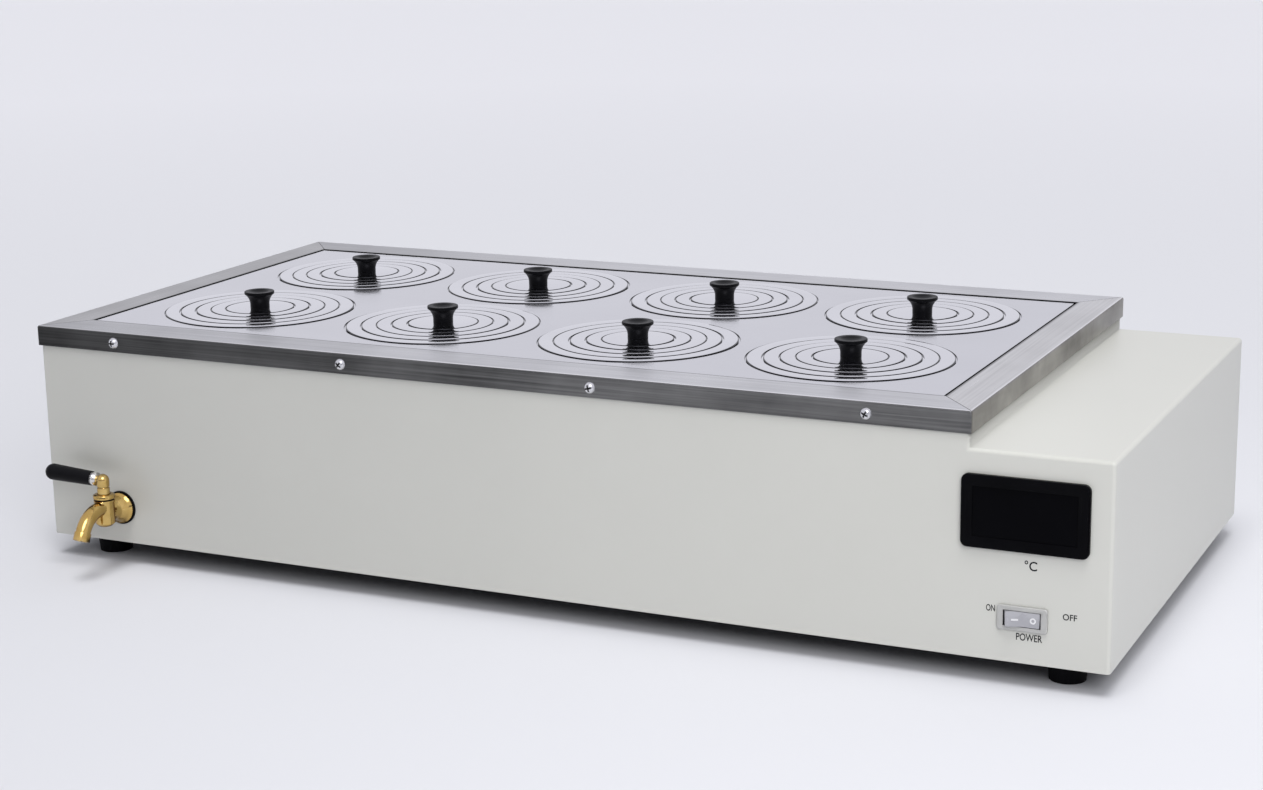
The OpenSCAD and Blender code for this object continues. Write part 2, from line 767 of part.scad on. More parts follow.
// Flat plate with a sunk ledge around each hole, which carries the outermost ring
module cover_plate() {
    color(polished) housing_frame() difference() {
        union() {
            translate([plate_x, plate_y, seat_z]) cube([plate_l, plate_d, plate_t]);
            for (n = [1 : hole_cols * hole_rows]) {
                translate([hole_x(n), hole_y(n), plate_top - seat_depth - plate_t]) {
                    cylinder(d = hole_d + 2 * ring_t, h = plate_t + eps, $fn = 96);
                }
            }
        }
        for (n = [1 : hole_cols * hole_rows]) {
            translate([hole_x(n), hole_y(n), plate_top - seat_depth]) {
                cylinder(d = hole_d, h = seat_depth + eps, $fn = 96);
            }
            translate([hole_x(n), hole_y(n), plate_top - seat_depth - plate_t - eps]) {
                cylinder(d = hole_d - 2 * ledge_w, h = plate_t + 2 * eps, $fn = 96);
            }
        }
    }
}

// Ring number k: a flat band with a sunk ledge along its inner edge
module ring(k) {
    outer_r = seat_d(k) / 2 - ring_gap;
    seat_r = seat_d(k + 1) / 2;
    ledge_r = seat_r - ledge_w;
    rotate_extrude($fn = 96) polygon([
        [outer_r, 0], [outer_r, -ring_t],
        [seat_r + ring_t, -ring_t], [seat_r + ring_t, -seat_depth - ring_t],
        [ledge_r, -seat_depth - ring_t], [ledge_r, -seat_depth],
        [seat_r, -seat_depth], [seat_r, 0]
    ]);
}

// The four loose rings of hole n, one inside the other
module ring_set(n) {
    color(polished) housing_frame() translate([hole_x(n), hole_y(n), plate_top]) {
        for (k = [1 : 4]) {
            translate(ring_at(n, k)) ring(k);
        }
    }
}

module at_lid(n) {
    translate([hole_x(n), hole_y(n), plate_top]) translate(ring_at(n, 5)) children();
}

// Centre lid of hole n, with the screw that holds its knob
module lid(n) {
    lid_d = seat_d(5) - 2 * ring_gap;
    color(polished) housing_frame() at_lid(n) {
        translate([0, 0, -ring_t]) tube(lid_d, knob_screw_d + pass_gap, ring_t);
        translate([0, 0, -ring_t - part_gap]) rotate([90, 0, 0]) pan_screw(knob_screw_d, 2 * knob_screw_d, 6);
    }
}

// Turned black knob: a waisted neck that flares to an upright lip round a dished top
module knob(n) {
    neck_h = knob_h - knob_lip_h;
    flare = (knob_lip_d - knob_waist_d) / 2 - 0.6;
    waist_z = 3.6;
    flare_h = neck_h - waist_z;
    // Radius of the arc that leaves the waist upright and meets the lip
    flare_r = (flare * flare + flare_h * flare_h) / (2 * flare);
    dish_depth = 1.6;
    lip_ring_w = 3;
    dish_w = knob_lip_d / 2 - lip_ring_w;
    dish_r = (dish_w * dish_w + dish_depth * dish_depth) / (2 * dish_depth);
    color(black) housing_frame() at_lid(n) rotate_extrude() difference() {
        square([knob_lip_d / 2, knob_h]);
        translate([knob_waist_d / 2 + flare_r, waist_z]) circle(r = flare_r, $fn = 128);
        translate([knob_waist_d / 2, -eps]) square([knob_lip_d, waist_z + eps]);
        translate([0, knob_h + dish_r - dish_depth]) circle(r = dish_r, $fn = 128);
        translate([-eps, -eps]) square([(knob_screw_d + pass_gap) / 2 + eps, 5.6 + eps]);
    }
}

// ---------- heater, shelf and probe ----------

// One bent heating tube; its ends pass through the tank's right wall and carry terminals
module heater_element() {
    bend_x = tank_x0 + heater_inset + heater_pitch / 2 + heater_d / 2;
    leg_l = tank_x1 + tank_t + heater_tail - bend_x;
    collar_in = heater_nut_t + 3;
    color("#8f8f94") housing_frame() {
        translate([bend_x, tank_mid_y, heater_z]) {
            rotate(90) rotate_extrude(angle = 180) {
                translate([heater_pitch / 2, 0]) circle(d = heater_d, $fn = 32);
            }
            for (side = [-1, 1]) {
                translate([0, side * heater_pitch / 2, 0]) {
                    right_rod(heater_d, leg_l);
                    translate([leg_l - heater_tail - tank_t - collar_in, 0, 0]) {
                        right_rod(heater_collar_d, heater_tail + tank_t + collar_in - 2);
                    }
                    translate([leg_l, 0, 0]) right_rod(heater_d * 0.4, terminal_l);
                }
            }
        }
    }
}

// A nut on each side of the tank's wall, on each leg of the heating tube
module heater_nuts() {
    color(brass) housing_frame() at_heater_legs() {
        for (x = [-heater_nut_t, tank_t]) {
            translate([x, 0, 0]) rotate([90, 0, 90]) {
                hex_nut(heater_nut_af, heater_collar_d + 0.1, heater_nut_t);
            }
        }
    }
}

// Perforated false bottom that stands on its two turned-down sides
module shelf() {
    shelf_l = tank_l - 2 * shelf_gap_x;
    shelf_d = tank_d - 2 * shelf_gap_y;
    cols = floor((shelf_l - shelf_hole_pitch) / shelf_hole_pitch);
    rows = floor((shelf_d - shelf_hole_pitch) / shelf_hole_pitch);
    color(stainless) housing_frame() difference() {
        translate([tank_x0 + shelf_gap_x, tank_y0 + shelf_gap_y, tank_floor_z]) {
            cube([shelf_l, shelf_d, shelf_h]);
        }
        translate([tank_x0 + shelf_gap_x - eps, tank_y0 + shelf_gap_y + shelf_t, tank_floor_z - eps]) {
            cube([shelf_l + 2 * eps, shelf_d - 2 * shelf_t, shelf_h - shelf_t + eps]);
        }
        for (i = [0 : cols - 1], j = [0 : rows - 1]) {
            translate([
                tank_x0 + tank_l / 2 + (i - (cols - 1) / 2) * shelf_hole_pitch,
                tank_mid_y + (j - (rows - 1) / 2) * shelf_hole_pitch,
                tank_floor_z + shelf_h - shelf_t - eps
            ]) {
                cylinder(d = shelf_hole_d, h = shelf_t + 2 * eps, $fn = 24);
            }
        }
    }
}

module probe() {
    color(stainless) housing_frame() translate([tank_x1 - probe_l, tank_mid_y, heater_z]) {
        translate([probe_d / 2, 0, 0]) {
            sphere(d = probe_d);
            right_rod(probe_d, probe_l + tank_t + probe_tail - probe_d / 2);
        }
    }
}

// Threaded collar in the tank's wall with a nut on each side, round the probe
module probe_gland() {
    collar_out = 6;
    nut_t = 3.5;
    color(brass) housing_frame() translate([tank_x1, tank_mid_y, heater_z]) {
        difference() {
            translate([-collar_out, 0, 0]) right_rod(probe_collar_d, 2 * collar_out + tank_t);
            translate([-collar_out - eps, 0, 0]) right_rod(probe_d + 0.1, 2 * (collar_out + eps) + tank_t);
        }
        for (x = [-nut_t, tank_t]) {
            translate([x, 0, 0]) rotate([90, 0, 90]) hex_nut(probe_gland_af, probe_collar_d + 0.1, nut_t);
        }
    }
}

// ---------- drain tap ----------

module tap_gasket() {
    color(black) housing_frame() at_tap() rotate([90, 0, 0]) {
        tube(tap_flange_d + 2, tap_tail_d + pass_gap, gasket_t);
    }
}

// The spout's path, drawn for a round section: it leaves the barrel forwards and bends down
module spout_path(d, end_gap) {
    nozzle_root = 0.5;
    translate([0, 0, spout_rise]) forward_rod(d, spout_lead);
    translate([0, -spout_lead, spout_rise - spout_bend_r]) {
        rotate([0, -90, 180]) rotate_extrude(angle = spout_angle, $fn = 96) {
            translate([spout_bend_r, 0]) circle(d = d, $fn = 48);
        }
        translate([0, -spout_bend_r * sin(spout_angle), spout_bend_r * cos(spout_angle)]) {
            rotate([90 + spout_angle, 0, 0]) translate([0, 0, -nozzle_root]) {
                cylinder(d = d + nozzle_step, h = nozzle_root + nozzle_l + end_gap, $fn = 48);
            }
        }
    }
}

// Cast brass body: a flared flange, a threaded tail, an upright barrel and a curved spout
module tap_body() {
    tail_l = tank_y0 + tap_washer_t + tap_nut_t + 2;
    chamfer = 2;
    flange_edge_t = 1.4;
    bell_l = 7;
    neck_d = tap_barrel_d - 1.4;
    color(brass) housing_frame() difference() {
        union() {
            at_tap() {
                translate([0, -gasket_t, 0]) {
                    forward_rod(tap_flange_d, flange_edge_t);
                    translate([0, -flange_edge_t, 0]) rotate([90, 0, 0]) {
                        cylinder(d1 = tap_flange_d - 1.6, d2 = neck_d, h = bell_l);
                    }
                    forward_rod(neck_d, tap_reach - gasket_t);
                    backward_rod(tap_tail_d, tail_l + gasket_t);
                }
            }
            at_barrel() {
                translate([0, 0, chamfer - barrel_low]) {
                    cylinder(d = tap_barrel_d, h = barrel_low + barrel_high - chamfer);
                }
                translate([0, 0, -barrel_low]) {
                    cylinder(d1 = tap_barrel_d - 2 * chamfer, d2 = tap_barrel_d, h = chamfer);
                }
                translate([0, 0, barrel_high - 1.6]) cylinder(d = tap_barrel_d + 0.8, h = 1.6);
                spout_path(spout_d, 0);
            }
        }
        at_barrel() {
            translate([0, 0, barrel_floor_t - barrel_low]) {
                cylinder(d = tap_plug_d + 2 * tap_plug_fit,
                    h = barrel_low + barrel_high - barrel_floor_t + eps);
            }
            spout_path(spout_bore_d, eps);
        }
        at_barrel() backward_rod(spout_bore_d, tap_reach + tail_l + eps);
    }
}

// Sleeve round the tail that keeps the housing and the tank apart
module tap_spacer() {
    color("#8a8f94") housing_frame() at_tap() translate([0, sheet_t, 0]) rotate([-90, 0, 0]) {
        tube(tap_tail_d + 6, tap_tail_d + pass_gap, tank_y0 - tank_t - sheet_t);
    }
}

module tap_washer() {
    color("#a8402c") housing_frame() at_tap() translate([0, tank_y0, 0]) rotate([-90, 0, 0]) {
        tube(tap_nut_af - 0.4, tap_tail_d + pass_gap, tap_washer_t);
    }
}

module tap_locknut() {
    color(brass) housing_frame() at_tap() translate([0, tank_y0 + tap_washer_t, 0]) rotate([-90, 0, 0]) {
        hex_nut(tap_nut_af, tap_tail_d + 0.1, tap_nut_t);
    }
}

module tap_o_ring() {
    color(black) housing_frame() at_barrel() translate([0, 0, barrel_high]) {
        tube(tap_barrel_d + 0.2, tap_plug_d + 1, o_ring_t);
    }
}

module tap_bonnet() {
    color(brass) housing_frame() at_barrel() translate([0, 0, barrel_high + o_ring_t]) difference() {
        union() {
            cylinder(d = tap_barrel_d + 1.4, h = bonnet_h - 0.8);
            translate([0, 0, bonnet_h - 0.8]) {
                cylinder(d1 = tap_barrel_d + 1.4, d2 = tap_barrel_d - 1, h = 0.8);
            }
        }
        translate([0, 0, -eps]) cylinder(d = tap_plug_d + 0.7, h = bonnet_h + 2 * eps);
    }
}

// Turning plug with its upright port, and the domed stem that the lever goes into
module tap_plug() {
    plug_z = barrel_floor_t + 0.2 - barrel_low;
    port_w = tap_plug_d - 3.6;
    groove_z = 18.2;
    groove_w = 1.2;
    color(brass) housing_frame() at_barrel() difference() {
        union() {
            translate([0, 0, plug_z]) cylinder(d = tap_plug_d, h = stem_top - tap_plug_d / 2 - plug_z);
            translate([0, 0, stem_top - tap_plug_d / 2]) sphere(d = tap_plug_d);
        }
        translate([0, 0, groove_z]) difference() {
            cylinder(d = tap_plug_d + 2, h = groove_w);
            translate([0, 0, -eps]) cylinder(d = tap_plug_d - 1.2, h = groove_w + 2 * eps);
        }
        // Port that joins the tail's bore with the spout's, which lies higher
        for (z = [0, spout_rise]) {
            translate([-tap_plug_d, 0, z]) right_rod(port_w, 2 * tap_plug_d);
        }
        translate([-tap_plug_d, -port_w / 2, 0]) cube([2 * tap_plug_d, port_w, spout_rise]);
        along_lever() cylinder(d = lever_d + 0.1, h = tap_plug_d, $fn = 48);
    }
}

// From the stem to the left and slightly up, with +Z along the lever
module along_lever() {
    translate([0, 0, lever_z]) rotate([0, lever_tilt - 90, 0]) children();
}

// Brass rod in the stem, with a collar between the stem and the grip
module tap_lever() {
    collar_start = tap_plug_d / 2 + 0.7;
    color(brass) housing_frame() at_barrel() along_lever() {
        cylinder(d = lever_d, h = lever_start + grip_l - 5, $fn = 48);
        translate([0, 0, collar_start]) cylinder(d = grip_root_d - 0.6, h = lever_start - collar_start);
    }
}

// Black sleeve pushed over the rod, thicker and rounded at its free end
module tap_grip() {
    tip_r = grip_tip_d / 2;
    color(black) housing_frame() at_barrel() along_lever() {
        translate([0, 0, lever_start]) difference() {
            union() {
                cylinder(d1 = grip_root_d, d2 = grip_tip_d, h = grip_l - tip_r);
                translate([0, 0, grip_l - tip_r]) sphere(r = tip_r);
            }
            translate([0, 0, -eps]) cylinder(d = lever_d + 0.1, h = grip_l - 4.8 + eps, $fn = 48);
        }
    }
}

// ---------- display ----------

// Moulded black frame with a shallow well for the window
module display_bezel() {
    well = display_proud - window_back;
    in_w = display_w - 2 * display_border;
    in_h = display_h - 2 * display_border;
    fit_gap = pass_gap / 2;
    lip = well_inset + 0.8;
    color(black) housing_frame() translate([display_x, 0, display_z]) difference() {
        union() {
            translate([-display_w / 2, 0, -display_h / 2]) rotate([90, 0, 0]) {
                soft_plate(display_w, display_h, display_proud, display_corner_r, 0.9);
            }
            translate([-in_w / 2 + fit_gap, -eps, -in_h / 2 + fit_gap]) {
                cube([in_w - 2 * fit_gap, display_board_y, in_h - 2 * fit_gap]);
            }
        }
        translate([-in_w / 2 + well_inset, -display_proud - eps, -in_h / 2 + well_inset]) {
            cube([in_w - 2 * well_inset, well + eps, in_h - 2 * well_inset]);
        }
        translate([-in_w / 2 + lip, -display_proud - eps, -in_h / 2 + lip]) {
            cube([in_w - 2 * lip, display_proud + display_board_y + 2, in_h - 2 * lip]);
        }
    }
}

// Smoked window, let into the frame's well
module display_window() {
    in_w = display_w - 2 * (display_border + well_inset + window_gap);
    in_h = display_h - 2 * (display_border + well_inset + window_gap);
    color(dark_glass) housing_frame() translate([display_x, -window_back - window_t, display_z]) {
        translate([-in_w / 2, 0, -in_h / 2]) cube([in_w, window_t, in_h]);
    }
}

// Circuit board behind the window, with its block of four digits
module display_board() {
    board_w = display_w - 8;
    board_h = display_h - 6;
    screw_hole_d = 3;
    digit_w = 12.4;
    digit_h = 19;
    digit_t = 5.6;
    digit_gap = 0.2;
    color("#2f5f3a") housing_frame() translate([display_x, display_board_y, display_z]) {
        difference() {
            translate([-board_w / 2, 0, -board_h / 2]) cube([board_w, board_t, board_h]);
            translate([-board_w * 0.29, -eps, screw_hole_d - board_h / 2]) {
                backward_rod(screw_hole_d, board_t + 2 * eps);
            }
        }
        for (i = [-2 : 1]) {
            translate([i * (digit_w + digit_gap), -digit_t, -digit_h / 2]) cube([digit_w, digit_t, digit_h]);
        }
    }
}

// ---------- parts inside the control box ----------

// Circuit board on four pillars, with its terminals and capacitors
module control_board() {
    board_l = control_l - 27;
    board_d = housing_d * 0.277;
    pillar_h = 8;
    pillar_d = 6;
    pillar_inset = 5;
    capacitor_d = 10;
    capacitor_h = 18;
    terminals_d = 12;
    board_z = inner_floor_z + pillar_h;
    board_top = board_z + board_t;
    color("#2f5f3a") housing_frame() translate([control_mid_x - board_l / 2, housing_d * 0.34, 0]) {
        translate([0, 0, board_z]) cube([board_l, board_d, board_t]);
        for (x = [pillar_inset, board_l - pillar_inset], y = [pillar_inset, board_d - pillar_inset]) {
            translate([x, y, base_t]) cylinder(d = pillar_d, h = board_z - base_t);
        }
        for (i = [1 : 3]) {
            translate([i * board_l / 4, board_d * 0.23, board_top]) {
                cylinder(d = capacitor_d, h = capacitor_h);
            }
        }
        translate([board_l * 0.1, board_d - 1.5 * terminals_d, board_top]) {
            cube([board_l * 0.8, terminals_d, terminals_d + 2]);
        }
        translate([board_l * 0.2, board_d * 0.46, board_top]) {
            cube([board_l / 2, terminals_d, terminals_d / 2]);
        }
    }
}

// Small mains transformer: a laminated core with its winding and its mounting foot
module transformer() {
    core_l = 42;
    core_d = 22;
    core_h = 36;
    coil_out = 7;
    yoke_h = 6;
    foot_t = 1.5;
    ear_l = 6;
    color("#5a5a60") housing_frame() translate([control_mid_x, housing_d * 0.21, base_t]) {
        translate([-core_l / 2, -core_d / 2, foot_t]) cube([core_l, core_d, core_h]);
        translate([-core_l / 4, -core_d / 2 - coil_out, foot_t + yoke_h]) {
            cube([core_l / 2, core_d + 2 * coil_out, core_h - 2 * yoke_h]);
        }
        translate([-core_l / 2 - ear_l, -core_d / 2, 0]) cube([core_l + 2 * ear_l, core_d, foot_t]);
    }
}

// Solid-state relay that switches the heater, on its finned heat sink
module heater_relay() {
    sink_l = control_l * 0.58;
    sink_d = 70;
    sink_base_t = 4;
    fin_count = 7;
    fin_t = 3.4;
    fin_h = 18;
    relay_h = 22;
    color("#9a9aa2") housing_frame() translate([control_mid_x - sink_l / 2, housing_d * 0.65, base_t]) {
        cube([sink_l, sink_d, sink_base_t]);
        for (i = [0 : fin_count - 1]) {
            translate([i * (sink_l - fin_t) / (fin_count - 1), 0, sink_base_t]) cube([fin_t, sink_d, fin_h]);
        }
        translate([2, 6, sink_base_t + fin_h]) cube([sink_l - 4, sink_d - 12, relay_h]);
    }
}

// ---------- power switch ----------

// Moulded switch frame and case, with a pocket for the rocker and bores for its pins
module switch_body() {
    pocket_r = rocker_l / 2 + rocker_gap;
    pocket_h = rocker_w + 2 * rocker_gap;
    pin_bore_l = 0.9;
    color("#a9acb0") housing_frame() translate([switch_x, 0, switch_z]) difference() {
        union() {
            translate([-switch_w / 2, 0, -switch_h / 2]) rotate([90, 0, 0]) {
                soft_plate(switch_w, switch_h, switch_proud, 1.6, 0.7);
            }
            translate([-switch_body_w / 2, -eps, -switch_body_h / 2]) {
                cube([switch_body_w, switch_body_d, switch_body_h]);
            }
        }
        translate([0, rocker_y, -pocket_h / 2]) cylinder(r = pocket_r, h = pocket_h);
        translate([-pocket_r, -switch_proud - eps, -pocket_h / 2]) {
            cube([2 * pocket_r, switch_proud + rocker_y + eps, pocket_h]);
        }
        translate([0, rocker_y, -pocket_h / 2 - pin_bore_l]) {
            cylinder(d = rocker_pin_d + 0.1, h = pocket_h + 2 * pin_bore_l, $fn = 32);
        }
    }
    color(brass) housing_frame() for (x = [-8, 0, 8]) {
        translate([switch_x + x - 0.4, switch_body_d, switch_z - 2.4]) cube([0.8, 8, 4.8]);
    }
}

// Rocker with two faces that meet in a shallow V; it stands with its right half pressed in
module switch_rocker() {
    half = rocker_throw / 2;
    r = rocker_l / 2;
    rise = r * tan(half);
    color("#b4b8be") housing_frame() translate([switch_x, rocker_y, switch_z]) rotate(half) {
        translate([0, 0, -rocker_w / 2]) linear_extrude(rocker_w) intersection() {
            circle(r = r);
            polygon([
                [-r, rocker_face_y - rise], [0, rocker_face_y], [r, rocker_face_y - rise],
                [r, rocker_back_y], [-r, rocker_back_y]
            ]);
        }
        translate([0, 0, -rocker_w / 2 - rocker_gap - 0.8]) {
            cylinder(d = rocker_pin_d, h = rocker_w + 2 * rocker_gap + 1.6, $fn = 32);
        }
    }
}

// ---------- rear fittings ----------

// Moulded cord gland: locknut inside, flange and domed cap outside
module cord_gland() {
    gland_tail_l = 8;
    color(black) housing_frame() translate([gland_x, housing_d, rear_fitting_z]) difference() {
        union() {
            translate([0, -sheet_t - gland_tail_l, 0]) backward_rod(gland_d, sheet_t + gland_tail_l + 1);
            translate([0, -sheet_t - 4, 0]) rotate([-90, 0, 0]) hex_block(gland_d + 6, 4);
            rotate([-90, 0, 0]) hex_block(gland_d + 5, gland_flange_t + 1);
            translate([0, gland_flange_t, 0]) backward_rod(gland_d + 4, gland_cap_l);
            translate([0, gland_flange_t + gland_cap_l, 0]) rotate([-90, 0, 0]) {
                cylinder(d1 = gland_d + 4, d2 = gland_bore_d + 4, h = gland_cone_l);
            }
        }
        translate([0, -sheet_t - gland_tail_l - eps, 0]) {
            backward_rod(gland_bore_d, sheet_t + gland_tail_l + gland_reach + 2 * eps);
        }
    }
}

// Panel fuse holder: slotted cap outside, body and nut inside
module fuse_holder() {
    color(black) housing_frame() translate([fuse_x, housing_d, rear_fitting_z]) difference() {
        union() {
            backward_rod(fuse_d + 4, 2);
            translate([0, 2, 0]) backward_rod(fuse_d, 6);
            translate([0, -30, 0]) backward_rod(fuse_d, 30 + eps);
            translate([0, -sheet_t - 4, 0]) rotate([-90, 0, 0]) hex_block(fuse_d + 5, 4);
        }
        translate([-fuse_d, 6.6, -0.7]) cube([2 * fuse_d, 2, 1.4]);
    }
}

// ---------- one line for each node ----------

outer_shell();
base_plate();
base_screws();
bulkhead();
feet();
feet_screws();
tank();
tank_insulation();
rim_frame();
rim_screws();
cover_plate();
heater_element();
heater_nuts();
shelf();
probe();
probe_gland();
tap_gasket();
tap_body();
tap_spacer();
tap_washer();
tap_locknut();
tap_o_ring();
tap_bonnet();
tap_plug();
tap_lever();
tap_grip();
display_bezel();
display_window();
display_board();
control_board();
transformer();
heater_relay();
switch_body();
switch_rocker();
cord_gland();
fuse_holder();
ring_set(1);  // rings_1
ring_set(2);  // rings_2
ring_set(3);  // rings_3
ring_set(4);  // rings_4
ring_set(5);  // rings_5
ring_set(6);  // rings_6
ring_set(7);  // rings_7
ring_set(8);  // rings_8
lid(1);  // lid_1
lid(2);  // lid_2
lid(3);  // lid_3
lid(4);  // lid_4
lid(5);  // lid_5
lid(6);  // lid_6
lid(7);  // lid_7
lid(8);  // lid_8
knob(1);  // knob_1
knob(2);  // knob_2
knob(3);  // knob_3
knob(4);  // knob_4
knob(5);  // knob_5
knob(6);  // knob_6
knob(7);  // knob_7
knob(8);  // knob_8
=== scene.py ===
from math import cos, hypot, pi, radians, sin, tan

import bmesh
import bpy
from mathutils import Matrix, Vector


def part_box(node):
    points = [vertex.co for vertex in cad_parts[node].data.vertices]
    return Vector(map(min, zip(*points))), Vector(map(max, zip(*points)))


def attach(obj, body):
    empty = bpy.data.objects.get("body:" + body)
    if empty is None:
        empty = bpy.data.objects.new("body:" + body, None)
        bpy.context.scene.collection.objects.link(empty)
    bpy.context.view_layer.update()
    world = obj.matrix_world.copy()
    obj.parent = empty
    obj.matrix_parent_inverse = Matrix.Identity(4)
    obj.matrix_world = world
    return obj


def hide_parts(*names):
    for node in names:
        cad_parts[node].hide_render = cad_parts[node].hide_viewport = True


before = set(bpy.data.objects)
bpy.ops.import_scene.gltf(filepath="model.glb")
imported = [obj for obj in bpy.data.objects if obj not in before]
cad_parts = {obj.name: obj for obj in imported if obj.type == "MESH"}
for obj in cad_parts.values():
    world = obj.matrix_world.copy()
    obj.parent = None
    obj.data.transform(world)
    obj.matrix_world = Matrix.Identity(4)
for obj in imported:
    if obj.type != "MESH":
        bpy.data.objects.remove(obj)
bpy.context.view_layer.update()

# ---------- Housing ----------
# One box folded from 1.2 mm sheet steel and welded: the tank section, and the lower control box at its
# right end. It is powder coated in a warm light grey, with a faint orange peel and a satin sheen.
housing_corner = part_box("outer_shell")[0]


def in_housing(x, y, z):
    """A place in metres, from millimetres measured from the housing's lower front left corner."""
    return housing_corner + Vector((x, y, z)) / 1000


def loose_object(mesh, name):
    """A new object in the scene, with this mesh or curve."""
    obj = bpy.data.objects.new(name, mesh)
    bpy.context.scene.collection.objects.link(obj)
    return obj


def shown_mesh(obj):
    """The object's mesh with its modifiers applied."""
    graph = bpy.context.evaluated_depsgraph_get()
    return bpy.data.meshes.new_from_object(obj.evaluated_get(graph))


def plain_mesh(obj):
    """Applies what shapes the object, and leaves it smooth over its bends and crisp at its seams."""
    mesh = shown_mesh(obj)
    obj.modifiers.clear()
    obj.data = mesh
    for face in mesh.polygons:
        face.use_smooth = True
    mesh.set_sharp_from_angle(angle=radians(32))
    weighted = obj.modifiers.new("even shading", "WEIGHTED_NORMAL")
    weighted.keep_sharp = True
    obj.data = shown_mesh(obj)
    obj.modifiers.clear()


def piece_from(mesh, name, body, finishes=(), node=None):
    """Puts a finished mesh into the scene as a piece, which may stand for a CAD node."""
    obj = loose_object(mesh, name)
    plain_mesh(obj)
    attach(obj, body)
    if node:
        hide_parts(node)
    for finish in finishes:
        obj.data.materials.append(finish)
    return obj


def joined_copy(node):
    """The solid of a CAD node as one closed mesh."""
    shape = bmesh.new()
    shape.from_mesh(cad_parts[node].data)
    bmesh.ops.remove_doubles(shape, verts=shape.verts, dist=2e-6)
    mesh = bpy.data.meshes.new(node)
    shape.to_mesh(mesh)
    shape.free()
    mesh.materials.clear()
    return mesh


def dressed(node, name, body, slot, *finishes):
    """A piece with the shape of a CAD node's own solid, in these finishes."""
    return piece_from(joined_copy(node), name, body, finishes, node)


def finish_nodes(name, metal=0.0, rough=0.5):
    """A new material, its node tree and its shader."""
    material = bpy.data.materials.new(name)
    material.use_nodes = True
    tree = material.node_tree
    shader = tree.nodes["Principled BSDF"]
    shader.inputs["Metallic"].default_value = metal
    shader.inputs["Roughness"].default_value = rough
    return material, tree, shader


def add(tree, kind, links=None, **values):
    """Adds a node, sets its properties and its inputs, and joins inputs to other nodes' outputs."""
    node = tree.nodes.new(kind)
    for key, value in values.items():
        setattr(node, key, value)
    for key, value in (links or {}).items():
        if isinstance(value, bpy.types.NodeSocket):
            tree.links.new(value, node.inputs[key])
        else:
            node.inputs[key].default_value = value
    return node


def maths(tree, a, b, operation="ADD", c=None, clamp=False):
    """The output of a maths node on two or three numbers."""
    numbers = {0: a, 1: b} if c is None else {0: a, 1: b, 2: c}
    return add(tree, "ShaderNodeMath", numbers, operation=operation, use_clamp=clamp).outputs[0]


def vector_maths(tree, a, b, operation):
    """The output of a vector maths node: a number for a dot product, and a vector otherwise."""
    node = add(tree, "ShaderNodeVectorMath", {0: a, 1: b}, operation=operation)
    return node.outputs["Value" if operation == "DOT_PRODUCT" else "Vector"]


def object_place(tree):
    """Where a point lies on its object."""
    return add(tree, "ShaderNodeTexCoord").outputs["Object"]


def effect_group(name, inputs, outputs):
    """A shader effect that several finishes share, with named inputs and outputs."""
    group = bpy.data.node_groups.new(name, "ShaderNodeTree")
    for label, kind, value in inputs:
        group.interface.new_socket(name=label, in_out="INPUT", socket_type=kind).default_value = value
    for label, kind in outputs:
        group.interface.new_socket(name=label, in_out="OUTPUT", socket_type=kind)
    return group, group.nodes.new("NodeGroupInput"), group.nodes.new("NodeGroupOutput")


# Cloudy patches, as left by coating, polishing or handling: a value from 0 to 1
cloudy, cloudy_in, cloudy_out = effect_group(
    "Cloudy patches",
    [("Patches per Metre", "NodeSocketFloat", 8.0), ("Contrast", "NodeSocketFloat", 1.0)],
    [("Patches", "NodeSocketFloat")])
cloudy_noise = add(cloudy, "ShaderNodeTexNoise", {"Vector": object_place(cloudy),
                                                  "Scale": cloudy_in.outputs["Patches per Metre"],
                                                  "Detail": 4.0, "Roughness": 0.55})
cloudy_centred = maths(cloudy, cloudy_noise.outputs["Fac"], 0.5, "SUBTRACT")
cloudy_gain = maths(cloudy, cloudy_centred, cloudy_in.outputs["Contrast"], "MULTIPLY_ADD", 0.5, clamp=True)
cloudy.links.new(cloudy_gain, cloudy_out.inputs["Patches"])

# Fine bumps of a moulded, coated or cast skin: a normal
fine_skin, skin_in, skin_out = effect_group(
    "Fine skin",
    [("Grains per Metre", "NodeSocketFloat", 900.0), ("Depth", "NodeSocketFloat", 0.2)],
    [("Normal", "NodeSocketVector")])
skin_noise = add(fine_skin, "ShaderNodeTexNoise", {"Vector": object_place(fine_skin),
                                                   "Scale": skin_in.outputs["Grains per Metre"], "Detail": 2.0})
skin_bump = add(fine_skin, "ShaderNodeBump", {"Strength": skin_in.outputs["Depth"], "Distance": 0.0001,
                                              "Height": skin_noise.outputs["Fac"]})
fine_skin.links.new(skin_bump.outputs["Normal"], skin_out.inputs["Normal"])


def use_effect(tree, group, **values):
    """Places an effect in a material; the names' underscores stand for spaces."""
    node = tree.nodes.new("ShaderNodeGroup")
    node.node_tree = group
    for key, value in values.items():
        node.inputs[key.replace("_", " ")].default_value = value
    return node


def between(tree, factor, low, high):
    """A colour between two, by a value from 0 to 1; each is a fixed colour or a node's output."""
    low, high = (end if isinstance(end, bpy.types.NodeSocket) else (*end, 1) for end in (low, high))
    return add(tree, "ShaderNodeMix", {"Factor": factor, 6: low, 7: high}, data_type="RGBA").outputs[2]


def ramp(tree, value, low, high, start=0.0, end=1.0, kind="LINEAR"):
    """A number that goes from low to high while the value goes from start to end."""
    return add(tree, "ShaderNodeMapRange", {"Value": value, "From Min": start, "From Max": end, "To Min": low,
                                            "To Max": high}, interpolation_type=kind).outputs[0]


